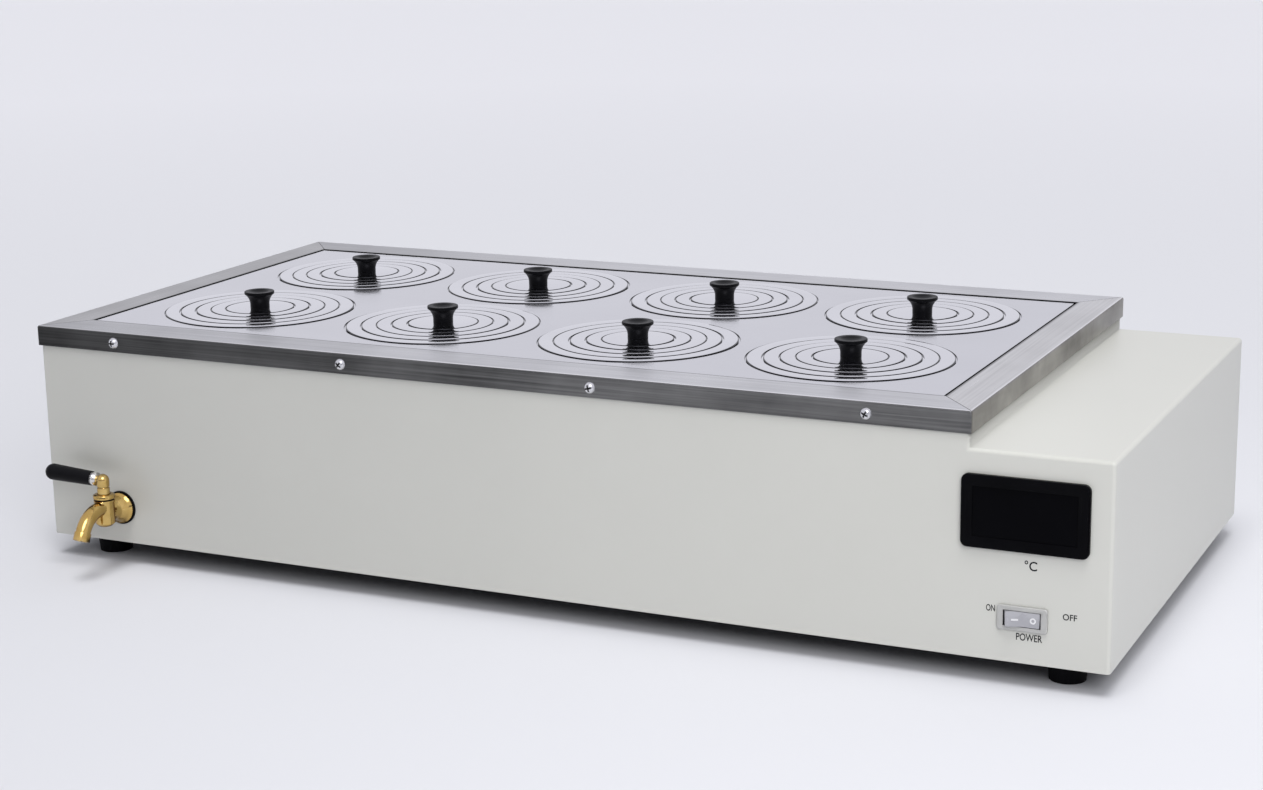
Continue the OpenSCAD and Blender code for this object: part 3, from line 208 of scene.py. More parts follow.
def coated(name, low, high, rough, grain=900.0, depth=0.12, patches=7.0, metal=0.0, gloss=0.5):
    """A finish with cloudy tone, a fine skin and a roughness that varies a little."""
    material, tree, shader = finish_nodes(name, metal=metal)
    shader.inputs["Specular IOR Level"].default_value = gloss
    tone = use_effect(tree, cloudy, Patches_per_Metre=patches, Contrast=1.6)
    skin = use_effect(tree, fine_skin, Grains_per_Metre=grain, Depth=depth)
    tree.links.new(between(tree, tone.outputs[0], low, high), shader.inputs["Base Color"])
    tree.links.new(ramp(tree, tone.outputs[0], rough * 0.88, rough * 1.12), shader.inputs["Roughness"])
    tree.links.new(skin.outputs[0], shader.inputs["Normal"])
    return material


powder_coat = coated("powder_coat", (0.585, 0.585, 0.548), (0.632, 0.632, 0.594), 0.34, 700.0, 0.10, 4.0)
dressed("outer_shell", "housing", "bath", "painted_sheet", powder_coat)

# ---------- Base plate, bulkhead and screws under the housing ----------
# A near-black sheet closes the housing from below: its dark colour stands in for deeper shade under the
# housing.
# A zinc-plated one parts the tank's space from the electrical parts. Small pan-head screws hold the base plate
# to the turned-in flanges.


def give(node, material):
    """Gives a CAD node its finish."""
    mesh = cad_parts[node].data
    mesh.materials.clear()
    mesh.materials.append(material)


zinc_sheet = coated("zinc_sheet", (0.42, 0.43, 0.43), (0.56, 0.57, 0.57), 0.45, 400.0, 0.08, 30.0, metal=0.85)
bright_zinc = coated("bright_zinc", (0.62, 0.62, 0.64), (0.74, 0.74, 0.76), 0.24, 2500.0, 0.10, 200.0,
                     metal=1.0)
# Near-black so that the shade under the housing is deeper: a colour that stands in for shade
blackened_sheet = coated("blackened_sheet", (0.012, 0.012, 0.013), (0.030, 0.030, 0.032), 0.6, 400.0, 0.08,
                         30.0)
give("base_plate", blackened_sheet)
give("bulkhead", zinc_sheet)
give("base_screws", bright_zinc)

# ---------- Feet ----------
# Four tapered rubber feet, each held by a screw from below and a nut on the base plate.
black_rubber = coated("black_rubber", (0.002, 0.002, 0.003), (0.005, 0.005, 0.006), 0.62, 1600.0, 0.25, 60.0,
                      gloss=0.08)
dressed("feet", "feet_rubber", "bath", "black_rubber", black_rubber)
give("feet_screws", bright_zinc)

# ---------- Tank and its insulation ----------
# The tank is welded from 1 mm stainless sheet with a turned-out flange that hangs on the housing.
# Slabs of yellowish glass wool stand in front of it, behind it and on its left.

# Long fine scratches of brushed sheet: a streak value from 0 to 1 and a normal
brushing, brush_in, brush_out = effect_group(
    "Brushing",
    [("Scratches per Metre", "NodeSocketVector", (12.0, 900.0, 900.0)), ("Depth", "NodeSocketFloat", 0.2)],
    [("Streaks", "NodeSocketFloat"), ("Normal", "NodeSocketVector")])
brush_scale = vector_maths(brushing, object_place(brushing), brush_in.outputs["Scratches per Metre"],
                           "MULTIPLY")
brush_noise = add(brushing, "ShaderNodeTexNoise", {"Vector": brush_scale, "Scale": 1.0, "Detail": 3.0,
                                                   "Roughness": 0.6})
brush_bump = add(brushing, "ShaderNodeBump", {"Strength": brush_in.outputs["Depth"], "Distance": 0.0001,
                                              "Height": brush_noise.outputs["Fac"]})
brushing.links.new(brush_noise.outputs["Fac"], brush_out.inputs["Streaks"])
brushing.links.new(brush_bump.outputs["Normal"], brush_out.inputs["Normal"])


def brushed(name, low, high, rough, scratches, depth=0.15, patches=9.0, contrast=1.6, streaks=0.35):
    """Brushed stainless steel: long scratches, and cloudy patches in tone and gloss."""
    material, tree, shader = finish_nodes(name, metal=1.0)
    grain = use_effect(tree, brushing, Scratches_per_Metre=scratches, Depth=depth)
    tone = use_effect(tree, cloudy, Patches_per_Metre=patches, Contrast=contrast)
    strong = maths(tree, ramp(tree, grain.outputs["Streaks"], 0.0, 1.0, 0.3, 0.7), streaks, "MULTIPLY")
    mixed = maths(tree, tone.outputs[0], 1 - streaks, "MULTIPLY_ADD", strong, clamp=True)
    tree.links.new(between(tree, mixed, low, high), shader.inputs["Base Color"])
    tree.links.new(ramp(tree, mixed, rough * 1.2, rough * 0.8), shader.inputs["Roughness"])
    tree.links.new(grain.outputs["Normal"], shader.inputs["Normal"])
    return material


tank_steel = brushed("tank_steel", (0.46, 0.46, 0.47), (0.60, 0.60, 0.62), 0.30, (14.0, 700.0, 14.0))
glass_wool = coated("glass_wool", (0.55, 0.47, 0.22), (0.74, 0.68, 0.42), 0.95, 500.0, 0.9, 160.0)
# The top of the tank's flange, where the cover lies on it, is dull and painted dark: painted shade for the gap
# round the cover
scaled_steel = coated("scaled_steel", (0.012, 0.012, 0.012), (0.05, 0.048, 0.045), 0.6, 900.0, 0.3, 40.0,
                      metal=0.5)
tank = dressed("tank", "tank_sheet", "bath", "stainless_brushed", tank_steel, scaled_steel)
tank_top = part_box("tank")[1].z
for face in tank.data.polygons:
    if face.normal.z > 0.8 and face.center.z > tank_top - 0.0005:
        face.material_index = 1
give("tank_insulation", glass_wool)

# ---------- Rim ----------
# A frame of 1.5 mm brushed stainless sheet, mitred at its four corners and turned down over the housing.
# Each strip is brushed along its own length, so the grain turns at the mitres.
rim_low, rim_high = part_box("rim_frame")
rim_side_w, rim_front_w, rim_t = 0.0245, 0.0294, 0.0015

# A line along an oblong's four sides: how near a place is to it, as 0 to 1
fold_lines, fold_in, fold_out = effect_group(
    "Fold lines",
    [("Middle", "NodeSocketVector", (0, 0, 0)), ("Half Size", "NodeSocketVector", (0.3, 0.2, 0)),
     ("Line Width", "NodeSocketFloat", 0.0006)], [("Line", "NodeSocketFloat")])
fold_from = vector_maths(fold_lines, object_place(fold_lines), fold_in.outputs["Middle"], "SUBTRACT")
fold_off = vector_maths(fold_lines, fold_from, (0, 0, 0), "ABSOLUTE")
fold_past = vector_maths(fold_lines, fold_off, fold_in.outputs["Half Size"], "SUBTRACT")
fold_split = add(fold_lines, "ShaderNodeSeparateXYZ", {0: fold_past})
fold_far = maths(fold_lines, fold_split.outputs["X"], fold_split.outputs["Y"], "MAXIMUM")
fold_share = maths(fold_lines, maths(fold_lines, fold_far, 0.0, "ABSOLUTE"), fold_in.outputs["Line Width"],
                   "DIVIDE")
fold_line = maths(fold_lines, 1.0, fold_share, "SUBTRACT", clamp=True)
fold_lines.links.new(fold_line, fold_out.inputs["Line"])
rim_middle = (rim_low + rim_high) / 2
rim_half = (rim_high - rim_low) / 2
fold_inset, line_w = 0.0004, 0.0018


def rim_steel(name, scratches, low, high, rough):
    """Brushed rim steel, with its grain along the strip, a painted highlight along the outer fold and painted
    shade along the inner cut edge.
    """
    material = brushed(name, low, high, rough, scratches, 0.30, 14.0, 2.2, 0.5)
    tree = material.node_tree
    shader = tree.nodes["Principled BSDF"]
    tone = shader.inputs["Base Color"].links[0].from_socket
    # A painted highlight along the outer fold, and painted shade along the inner cut edge beside the gap
    for half_x, half_y, colour in (
            (rim_half.x - fold_inset, rim_half.y - fold_inset, (0.97, 0.97, 0.97)),
            (rim_half.x - rim_side_w, rim_half.y - rim_front_w, (0.02, 0.02, 0.02))):
        line = use_effect(tree, fold_lines, Middle=rim_middle, Half_Size=(half_x, half_y, 0),
                          Line_Width=line_w)
        tone = between(tree, line.outputs[0], tone, colour)
    tree.links.new(tone, shader.inputs["Base Color"])
    return material


along, across = (7.0, 650.0, 650.0), (650.0, 7.0, 650.0)
rim_face = [rim_steel("rim_face_along", along, (0.50, 0.50, 0.51), (0.70, 0.70, 0.715), 0.30),
            rim_steel("rim_face_across", across, (0.53, 0.525, 0.52), (0.73, 0.725, 0.72), 0.31)]
# The turned-down flange takes darker copies of the rim's steel: painted shade and painted dark reflection
shaded_rim_flange = [brushed("rim_flange_along", (0.06, 0.06, 0.06), (0.29, 0.29, 0.285), 0.36, along, 0.30, 14.0, 2.2,
                      0.5),
              brushed("rim_flange_across", (0.14, 0.132, 0.118), (0.38, 0.365, 0.335), 0.34, (650.0, 7.0, 60.0),
                      0.22, 22.0, 2.8, 0.4)]
# Near-black for the rim's inner edges round the opening: painted shade in the gap round the cover
rim_joint = coated("rim_joint", (0.010, 0.010, 0.010), (0.030, 0.029, 0.028), 0.6, 900.0, 0.2, 60.0, metal=1.0)


def shade_to_the_left(material, darkest, reach):
    """Paints shade into a rim finish, darker step by step towards the frame's left end."""
    tree = material.node_tree
    split = add(tree, "ShaderNodeSeparateXYZ", {0: object_place(tree)})
    left_shade = ramp(tree, split.outputs["X"], darkest, 1.0, rim_low.x, rim_low.x + reach)
    colour = tree.nodes["Principled BSDF"].inputs["Base Color"]
    left_shaded = add(tree, "ShaderNodeVectorMath", {0: colour.links[0].from_socket, "Scale": left_shade},
                  operation="SCALE")
    tree.links.new(left_shaded.outputs[0], colour)


# Painted shade: the rim's flange and top darken towards the left end
shade_to_the_left(shaded_rim_flange[0], 0.30, 0.45)
shade_to_the_left(rim_face[0], 0.62, 0.30)
shade_to_the_left(rim_face[1], 0.62, 0.30)

rim = dressed("rim_frame", "rim_sheet", "bath", "stainless_brushed", *rim_face, *shaded_rim_flange, rim_joint)
for face in rim.data.polygons:
    centre = face.center
    from_side = min(centre.x - rim_low.x, rim_high.x - centre.x)
    from_front = min(centre.y - rim_low.y, rim_high.y - centre.y)
    on_side = 1 if from_side / rim_side_w < from_front / rim_front_w else 0
    if face.normal.z > 0.8:
        face.material_index = on_side
    elif min(from_side, from_front) > 2 * rim_t:
        # Inner edges round the opening get the near-black: painted shade
        face.material_index = 4
    else:
        face.material_index = 2 + on_side

# ---------- Rim screws ----------
# Four bright pan-head screws with a Phillips recess in front and four at the back, driven through the
# rim's flange into the housing. They repeat along the flange, so they are set out by a node tree.


def turned(profile, place=(0, 0, 0), steps=72):
    """A solid turned about an upright axis, from the corners of its section as (radius, height)."""
    shape = bmesh.new()
    rows = []
    for radius, height in profile:
        if radius < 1e-7:
            rows.append([shape.verts.new((place[0], place[1], place[2] + height))])
        else:
            rows.append([shape.verts.new((place[0] + radius * cos(2 * pi * i / steps),
                                          place[1] + radius * sin(2 * pi * i / steps), place[2] + height))
                         for i in range(steps)])
    closed = len(rows[0]) > 1 or len(rows[-1]) > 1
    for a, b in zip(rows, rows[1:] + (rows[:1] if closed else [])):
        for i in range(steps):
            j = (i + 1) % steps
            if len(a) == 1 and len(b) == 1:
                continue
            if len(a) == 1:
                shape.faces.new((a[0], b[j], b[i]))
            elif len(b) == 1:
                shape.faces.new((a[i], a[j], b[0]))
            else:
                shape.faces.new((a[i], a[j], b[j], b[i]))
    bmesh.ops.recalc_face_normals(shape, faces=shape.faces)
    return shape


def softened(corners, radius, steps=4):
    """The section with each of its corners rounded, as far as its sides allow."""
    result = []
    count = len(corners)
    for i, corner in enumerate(corners):
        here, before, after = Vector(corner), Vector(corners[i - 1]), Vector(corners[(i + 1) % count])
        a, b = before - here, after - here
        on_axis = here.x < 1e-7
        if on_axis or a.length < 1e-9 or b.length < 1e-9:
            result.append(tuple(here))
            continue
        half = a.angle(b) / 2
        if half > radians(84):
            result.append(tuple(here))
            continue
        cut = min(radius / tan(half), a.length * 0.45, b.length * 0.45)
        start, end = here + a.normalized() * cut, here + b.normalized() * cut
        for k in range(steps + 1):
            t = k / steps
            result.append(tuple((1 - t) ** 2 * start + 2 * t * (1 - t) * here + t * t * end))
    return result


def to_mesh(shape, name):
    """The built shape as a mesh."""
    mesh = bpy.data.meshes.new(name)
    shape.to_mesh(mesh)
    shape.free()
    return mesh


def shape_tree(name, inputs):
    """A node tree that makes a shape, with named inputs for its sizes."""
    tree = bpy.data.node_groups.new(name, "GeometryNodeTree")
    for label, kind, value in inputs:
        socket = tree.interface.new_socket(name=label, in_out="INPUT", socket_type=kind)
        if value is not None:
            socket.default_value = value
    tree.interface.new_socket(name="Shape", in_out="OUTPUT", socket_type="NodeSocketGeometry")
    return tree, tree.nodes.new("NodeGroupInput"), tree.nodes.new("NodeGroupOutput")


def grown(tree, name, **values):
    """The plain mesh that a shape tree makes with these sizes."""
    holder = loose_object(bpy.data.meshes.new(name), name)
    modifier = holder.modifiers.new(name, "NODES")
    modifier.node_group = tree
    sockets = {item.name: item.identifier for item in tree.interface.items_tree if item.in_out == "INPUT"}
    for key, value in values.items():
        modifier[sockets[key.replace("_", " ")]] = value
    mesh = shown_mesh(holder)
    mesh.name = name
    bpy.data.objects.remove(holder)
    return mesh


screw_head_r, screw_head_h, shank_r, screw_l = 0.0038, 0.0027, 0.0018, 0.0050
slot_l, slot_w, slot_h, slot_drop, skirt = 0.0042, 0.0010, 0.0026, 0.0003, 0.0002
dome_r = (screw_head_r ** 2 + screw_head_h ** 2) / (2 * screw_head_h)
head_section = [(0.0, screw_head_h)]
for k in range(1, 9):
    r = screw_head_r * k / 8
    head_section.append((r, screw_head_h - dome_r + (dome_r ** 2 - r ** 2) ** 0.5 + skirt))
head_section += [(screw_head_r, -skirt), (shank_r, -skirt), (shank_r, -screw_l), (0.0, -screw_l)]
screw_head = loose_object(to_mesh(turned(head_section, steps=48), "pan_head"), "pan_head")
recess = bmesh.new()
for turn in (0, pi / 2):
    bmesh.ops.create_cube(recess, size=1.0, matrix=Matrix.Rotation(turn, 4, "Z")
                          @ Matrix.Translation((0, 0, screw_head_h - slot_drop))
                          @ Matrix.Diagonal((slot_l, slot_w, slot_h, 1)))
cutter = loose_object(to_mesh(recess, "recess"), "recess")
cut = screw_head.modifiers.new("recess", "BOOLEAN")
cut.operation, cut.object, cut.use_self = "DIFFERENCE", cutter, True
plain_mesh(screw_head)
bpy.data.objects.remove(cutter)

screw_row, row_in, row_out = shape_tree("Row of screws", [
    ("Screw", "NodeSocketObject", None), ("Screws", "NodeSocketInt", 4),
    ("First Place", "NodeSocketVector", None), ("Step", "NodeSocketVector", None),
    ("Tilt", "NodeSocketRotation", None),
    ("Turn of the Slot", "NodeSocketFloat", 0.9), ("Finish", "NodeSocketMaterial", None)])
row_line = add(screw_row, "GeometryNodeMeshLine", {"Count": row_in.outputs["Screws"],
                                                   "Start Location": row_in.outputs["First Place"],
                                                   "Offset": row_in.outputs["Step"]}, mode="OFFSET")
row_screw = add(screw_row, "GeometryNodeObjectInfo", {"Object": row_in.outputs["Screw"]})
row_index = add(screw_row, "GeometryNodeInputIndex")
row_turn = maths(screw_row, row_index.outputs[0], row_in.outputs["Turn of the Slot"], "MULTIPLY")
row_spin = add(screw_row, "FunctionNodeAxisAngleToRotation", {"Axis": (0, 0, 1), "Angle": row_turn})
row_both = add(screw_row, "FunctionNodeRotateRotation", {"Rotation": row_in.outputs["Tilt"],
                                                         "Rotate By": row_spin.outputs[0]},
               rotation_space="LOCAL")
row_set = add(screw_row, "GeometryNodeInstanceOnPoints", {"Points": row_line.outputs[0],
                                                          "Instance": row_screw.outputs["Geometry"],
                                                          "Rotation": row_both.outputs[0]})
row_real = add(screw_row, "GeometryNodeRealizeInstances", {0: row_set.outputs[0]})
row_finish = add(screw_row, "GeometryNodeSetMaterial", {0: row_real.outputs[0],
                                                        "Material": row_in.outputs["Finish"]})
screw_row.links.new(row_finish.outputs[0], row_out.inputs[0])

screws_low, screws_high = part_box("rim_screws")
screw_z = (screws_low.z + screws_high.z) / 2
screw_pitch = (screws_high.x - screws_low.x - 2 * screw_head_r) / 3
rim_screw_mesh = bmesh.new()
for face_y, tilt in ((rim_low.y, (pi / 2, 0, 0)), (rim_high.y, (-pi / 2, 0, 0))):
    row = grown(screw_row, "row_of_screws", Screw=screw_head, Screws=4,
                First_Place=(screws_low.x + screw_head_r, face_y, screw_z), Step=(screw_pitch, 0, 0),
                Tilt=tilt, Turn_of_the_Slot=0.9, Finish=bright_zinc)
    rim_screw_mesh.from_mesh(row)
# Painted shade in the recesses: faces near the axis and below the dome are dark
recess_shade_r, recess_shade_depth = 0.0024, 0.0001
recess_grime = coated("recess_grime", (0.008, 0.008, 0.008), (0.03, 0.03, 0.03), 0.7, 2500.0, 0.2, 300.0)
rim_screws = piece_from(to_mesh(rim_screw_mesh, "rim_screws"), "rim_screw_heads", "bath",
                        [bright_zinc, recess_grime], "rim_screws")
for face in rim_screws.data.polygons:
    along_row = (face.center.x - screws_low.x - screw_head_r) / screw_pitch
    from_axis = hypot((along_row - round(along_row)) * screw_pitch, face.center.z - screw_z)
    proud = max(rim_low.y - face.center.y, face.center.y - rim_high.y)
    dome = screw_head_h - dome_r + (dome_r ** 2 - min(from_axis, screw_head_r) ** 2) ** 0.5
    face.material_index = 1 if from_axis < recess_shade_r and proud < dome - recess_shade_depth else 0

# ---------- Cover plate ----------
# A flat sheet of polished stainless, 1 mm thick, with eight holes in two rows of four. Each hole has a
# pressed ledge just under the plate's face, which carries the outermost of its loose rings.
plate_low, plate_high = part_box("cover_plate")
hole_d, sheet, rest = 0.130, 0.0008, 0.00005
hole_pitch_x, hole_pitch_y = 0.1434, 0.1399
plate_t, ledge_w = 0.001, 0.0035
plate_mid = (plate_low + plate_high) / 2
hole_middles = [(plate_mid.x + (i - 1.5) * hole_pitch_x, plate_mid.y + (j - 0.5) * hole_pitch_y)
                for j in range(2) for i in range(4)]

# Painted shade on the edges of thin polished sheet, in the gaps where two pieces meet: 1 on a face that stands
# upright
edge_shade, edges_in, edges_out = effect_group("Sheet edges", [("Steepness", "NodeSocketFloat", 0.25)],
                                                [("Edge", "NodeSocketFloat")])
edges_face = add(edge_shade, "ShaderNodeNewGeometry")
edges_split = add(edge_shade, "ShaderNodeSeparateXYZ", {0: edges_face.outputs["Normal"]})
edges_flat = maths(edge_shade, edges_split.outputs["Z"], 0.0, "ABSOLUTE")
edges_slope = maths(edge_shade, 0.995, edges_flat, "SUBTRACT")
edges_mask = maths(edge_shade, edges_slope, edges_in.outputs["Steepness"], "DIVIDE", clamp=True)
edge_shade.links.new(edges_mask, edges_out.inputs["Edge"])


def polished(name, low, high, rough, sag, patches=6.0):
    """Polished stainless steel, with wiping marks in its gloss, painted shade on its upright edges and a face
    that isn't perfectly flat.
    """
    material, tree, shader = finish_nodes(name, metal=1.0)
    tone = use_effect(tree, cloudy, Patches_per_Metre=patches, Contrast=1.8)
    wiping = use_effect(tree, brushing, Scratches_per_Metre=(60.0, 400.0, 60.0), Depth=0.02)
    gloss = maths(tree, wiping.outputs["Streaks"], tone.outputs[0], "MULTIPLY")
    edge = use_effect(tree, edge_shade, Steepness=0.02)
    # Upright faces are painted near-black: painted shade in the gaps between the sheets
    shade = between(tree, edge.outputs[0], between(tree, tone.outputs[0], low, high), (0.02, 0.02, 0.022))
    tree.links.new(shade, shader.inputs["Base Color"])
    tree.links.new(ramp(tree, gloss, rough * 0.7, rough * 1.5), shader.inputs["Roughness"])
    waves = add(tree, "ShaderNodeTexNoise", {"Vector": object_place(tree), "Scale": 7.0, "Detail": 1.0})
    bump = add(tree, "ShaderNodeBump", {"Strength": sag, "Distance": 0.002, "Height": waves.outputs["Fac"],
                                        "Normal": wiping.outputs["Normal"]})
    tree.links.new(bump.outputs["Normal"], shader.inputs["Normal"])
    return material


plate_steel = polished("plate_steel", (0.60, 0.60, 0.63), (0.69, 0.69, 0.72), 0.13, sag=0.35)
edge_r = 0.00025
outline = bpy.data.curves.new("plate_outline", "CURVE")
outline.dimensions = "2D"
outline.fill_mode = "BOTH"
outline.extrude = plate_t / 2 - edge_r
outline.bevel_depth = edge_r
outline.bevel_resolution = 1
outline.offset = -edge_r


def add_loop(curve, points):
    """Adds a closed line through these points."""
    spline = curve.splines.new("POLY")
    spline.points.add(len(points) - 1)
    for point, (x, y) in zip(spline.points, points):
        point.co = (x, y, 0, 1)
    spline.use_cyclic_u = True


add_loop(outline, [(plate_low.x, plate_low.y), (plate_high.x, plate_low.y), (plate_high.x, plate_high.y),
                   (plate_low.x, plate_high.y)])
hole_steps = 160
hole_angles = [2 * pi * i / hole_steps for i in range(hole_steps)]
for x, y in hole_middles:
    add_loop(outline, [(x + hole_d / 2 * cos(angle), y + hole_d / 2 * sin(angle)) for angle in hole_angles])
outline_object = loose_object(outline, "plate_outline")
sheet_mesh = shown_mesh(outline_object)
bpy.data.objects.remove(outline_object)
sheet_mesh.transform(Matrix.Translation((0, 0, plate_high.z - plate_t / 2)))
plate_shape = bmesh.new()
plate_shape.from_mesh(sheet_mesh)
bmesh.ops.remove_doubles(plate_shape, verts=plate_shape.verts, dist=1e-6)
seat_drop = sheet + rest
hole_r, lap, under_face, ledge_edge = hole_d / 2, 0.00002, 0.0003, 0.0002
ledge_section = softened([
    (hole_r - ledge_w, -seat_drop), (hole_r - lap, -seat_drop), (hole_r - lap, -under_face),
    (hole_r + sheet, -under_face), (hole_r + sheet, -seat_drop - plate_t),
    (hole_r - ledge_w, -seat_drop - plate_t)], ledge_edge, 2)
for x, y in hole_middles:
    ledge = turned(ledge_section, (x, y, plate_high.z), hole_steps)
    plate_shape.from_mesh(to_mesh(ledge, "ledge"))
piece_from(to_mesh(plate_shape, "cover_sheet"), "cover_sheet", "cover", [plate_steel],
           "cover_plate")

# ---------- Nested rings ----------
# Four loose rings lie in each hole, one inside the other, pressed from 0.8 mm polished stainless. Each
# is a flat band with a sunk ledge along its inner edge, and lies a little off the middle of its seat.
ring_w, ring_play, ring_shift = 0.01025, 0.0008, 0.0004
ring_edge, ring_roll, ring_crown, first_rise, ring_rise = 0.00015, 0.00080, 0.00010, 0.00035, 0.00018
turn_per_hole, turn_per_ring = radians(137), radians(101)
ring_steel = polished("ring_steel", (0.69, 0.69, 0.72), (0.78, 0.78, 0.81), 0.10, sag=0.30, patches=14.0)

nested, nest_in, nest_out = shape_tree("Nested rings", [
    ("Rings", "NodeSocketInt", 4), ("Middle", "NodeSocketVector", None),
    ("Seat Radius", "NodeSocketFloat", 0.065), ("Ring Width", "NodeSocketFloat", 0.01),
    ("Ledge Width", "NodeSocketFloat", 0.0035),
    ("Sheet", "NodeSocketFloat", 0.0008), ("Rest", "NodeSocketFloat", 0.00005),
    ("Play", "NodeSocketFloat", 0.0008), ("Shift", "NodeSocketFloat", 0.0004),
    ("First Turn", "NodeSocketFloat", 0.0), ("Turn per Ring", "NodeSocketFloat", 1.76),
    ("Edge Radius", "NodeSocketFloat", 0.0002), ("Rolled Edge", "NodeSocketFloat", 0.0007),
    ("Crown", "NodeSocketFloat", 0.0001), ("Rise per Ring", "NodeSocketFloat", 0.0001),
    ("Steps Around", "NodeSocketInt", 144),
    ("Finish", "NodeSocketMaterial", None)])

loop_in = nested.nodes.new("GeometryNodeRepeatInput")
loop_out = nested.nodes.new("GeometryNodeRepeatOutput")
loop_in.pair_with_output(loop_out)
loop_out.repeat_items.new("VECTOR", "Offset")
nested.links.new(nest_in.outputs["Rings"], loop_in.inputs["Iterations"])
count = maths(nested, loop_in.outputs["Iteration"], 1.0)
wide, drop = nest_in.outputs["Ring Width"], nest_in.outputs["Sheet"]
depth = maths(nested, drop, nest_in.outputs["Rest"])
outer_seat = maths(nested, maths(nested, loop_in.outputs["Iteration"], wide, "MULTIPLY"), -1.0, "MULTIPLY")
outer = maths(nested, maths(nested, nest_in.outputs["Seat Radius"], outer_seat),
               nest_in.outputs["Play"], "SUBTRACT")
inner_seat = maths(nested, nest_in.outputs["Seat Radius"], maths(nested, count, wide, "MULTIPLY"), "SUBTRACT")
inner = maths(nested, inner_seat, nest_in.outputs["Ledge Width"], "SUBTRACT")
wall = maths(nested, inner_seat, drop)
bottom = maths(nested, depth, drop)
crown = maths(nested, nest_in.outputs["Crown"], -1.0, "MULTIPLY")
side_crown = maths(nested, crown, 0.75, "MULTIPLY")
band = maths(nested, outer, inner_seat, "SUBTRACT")
near_inner, middle, near_outer = (maths(nested, band, share, "MULTIPLY_ADD", inner_seat)
                                  for share in (0.25, 0.5, 0.75))
section = [(outer, None), (outer, drop), (wall, drop), (wall, bottom), (inner, bottom), (inner, depth),
           (inner_seat, depth), (inner_seat, None), (near_inner, side_crown), (middle, crown),
           (near_outer, side_crown)]
choose = nested.nodes.new("GeometryNodeIndexSwitch")
choose.data_type = "VECTOR"
while len(choose.inputs) < len(section) + 2:
    choose.index_switch_items.new()
for k, (radius, low) in enumerate(section):
    away = maths(nested, radius, 1.0, "SUBTRACT")
    corner = add(nested, "ShaderNodeCombineXYZ", {"X": away, "Y": low or 0.0})
    nested.links.new(corner.outputs[0], choose.inputs[1 + k])
corner_index = add(nested, "GeometryNodeInputIndex")
nested.links.new(corner_index.outputs[0], choose.inputs[0])
corners = add(nested, "GeometryNodeMeshCircle", {"Vertices": len(section)})
corner_curve = add(nested, "GeometryNodeMeshToCurve", {0: corners.outputs[0]})
placed = add(nested, "GeometryNodeSetPosition", {"Geometry": corner_curve.outputs[0],
                                                 "Position": choose.outputs[0]})
is_rolled = maths(nested, corner_index.outputs[0], 0.0, "COMPARE", 0.5)
extra = maths(nested, nest_in.outputs["Rolled Edge"], nest_in.outputs["Edge Radius"], "SUBTRACT")
corner_r = maths(nested, is_rolled, extra, "MULTIPLY_ADD", nest_in.outputs["Edge Radius"])
rounded = add(nested, "GeometryNodeFilletCurve", {"Curve": placed.outputs[0], "Count": 3, "Limit Radius": True,
                                                  "Radius": corner_r}, mode="POLY")
around = add(nested, "GeometryNodeCurvePrimitiveCircle", {"Resolution": nest_in.outputs["Steps Around"],
                                                          "Radius": 1.0})
swept = add(nested, "GeometryNodeCurveToMesh", {"Curve": around.outputs[0],
                                                "Profile Curve": rounded.outputs[0]})
angle = maths(nested, nest_in.outputs["Turn per Ring"], count, "MULTIPLY_ADD", nest_in.outputs["First Turn"])
shift = add(nested, "ShaderNodeCombineXYZ", {
    "X": maths(nested, maths(nested, angle, 0.0, "COSINE"), nest_in.outputs["Shift"], "MULTIPLY"),
    "Y": maths(nested, maths(nested, angle, 0.0, "SINE"), nest_in.outputs["Shift"], "MULTIPLY"),
    "Z": nest_in.outputs["Rise per Ring"]})
moved = vector_maths(nested, loop_in.outputs["Offset"], shift.outputs[0], "ADD")
ring_placed = add(nested, "GeometryNodeTransform", {
    "Geometry": swept.outputs[0], "Translation": vector_maths(nested, moved, nest_in.outputs["Middle"], "ADD")})
gathered = nested.nodes.new("GeometryNodeJoinGeometry")
nested.links.new(ring_placed.outputs[0], gathered.inputs[0])
nested.links.new(loop_in.outputs["Geometry"], gathered.inputs[0])
nested.links.new(gathered.outputs[0], loop_out.inputs["Geometry"])
nested.links.new(moved, loop_out.inputs["Offset"])
ring_real = add(nested, "GeometryNodeRealizeInstances", {0: loop_out.outputs["Geometry"]})
ring_finish = add(nested, "GeometryNodeSetMaterial", {0: ring_real.outputs[0],
                                                      "Material": nest_in.outputs["Finish"]})
nested.links.new(ring_finish.outputs[0], nest_out.inputs[0])

for n, (x, y) in enumerate(hole_middles, 1):
    mesh = grown(nested, f"ring_set_{n}", Rings=4, Middle=(x, y, plate_high.z + first_rise),
                 Seat_Radius=hole_d / 2, Ring_Width=ring_w, Ledge_Width=ledge_w, Sheet=sheet, Rest=rest,
                 Play=ring_play, Shift=ring_shift, First_Turn=turn_per_hole * n, Turn_per_Ring=turn_per_ring,
                 Edge_Radius=ring_edge, Rolled_Edge=ring_roll, Crown=ring_crown, Rise_per_Ring=ring_rise,
                 Steps_Around=144, Finish=ring_steel)
    piece_from(mesh, f"nested_rings_{n}", f"ring_set_{n}", node=f"rings_{n}")

# ---------- Centre lids and knobs ----------
# A flat polished disc closes each innermost ring. A black phenolic knob, turned with a waist, a flared
# lip and a dished top, is held on it by a pan-head screw from below.
lid_r = hole_d / 2 - 4 * ring_w - ring_play
knob_h, knob_lip_r, knob_waist_r, knob_lip_h = 0.0125, 0.0102, 0.0066, 0.0022
waist_z, dish_depth, lip_ring_w = 0.0036, 0.0016, 0.0030
lip_under_w, lip_under_h, lip_edge, foot_edge = 0.0006, 0.0003, 0.0005, 0.0003
phenolic = coated("phenolic", (0.0015, 0.0015, 0.002), (0.003, 0.003, 0.004), 0.36, 1200.0, 0.05, 90.0,
                  gloss=0.09)

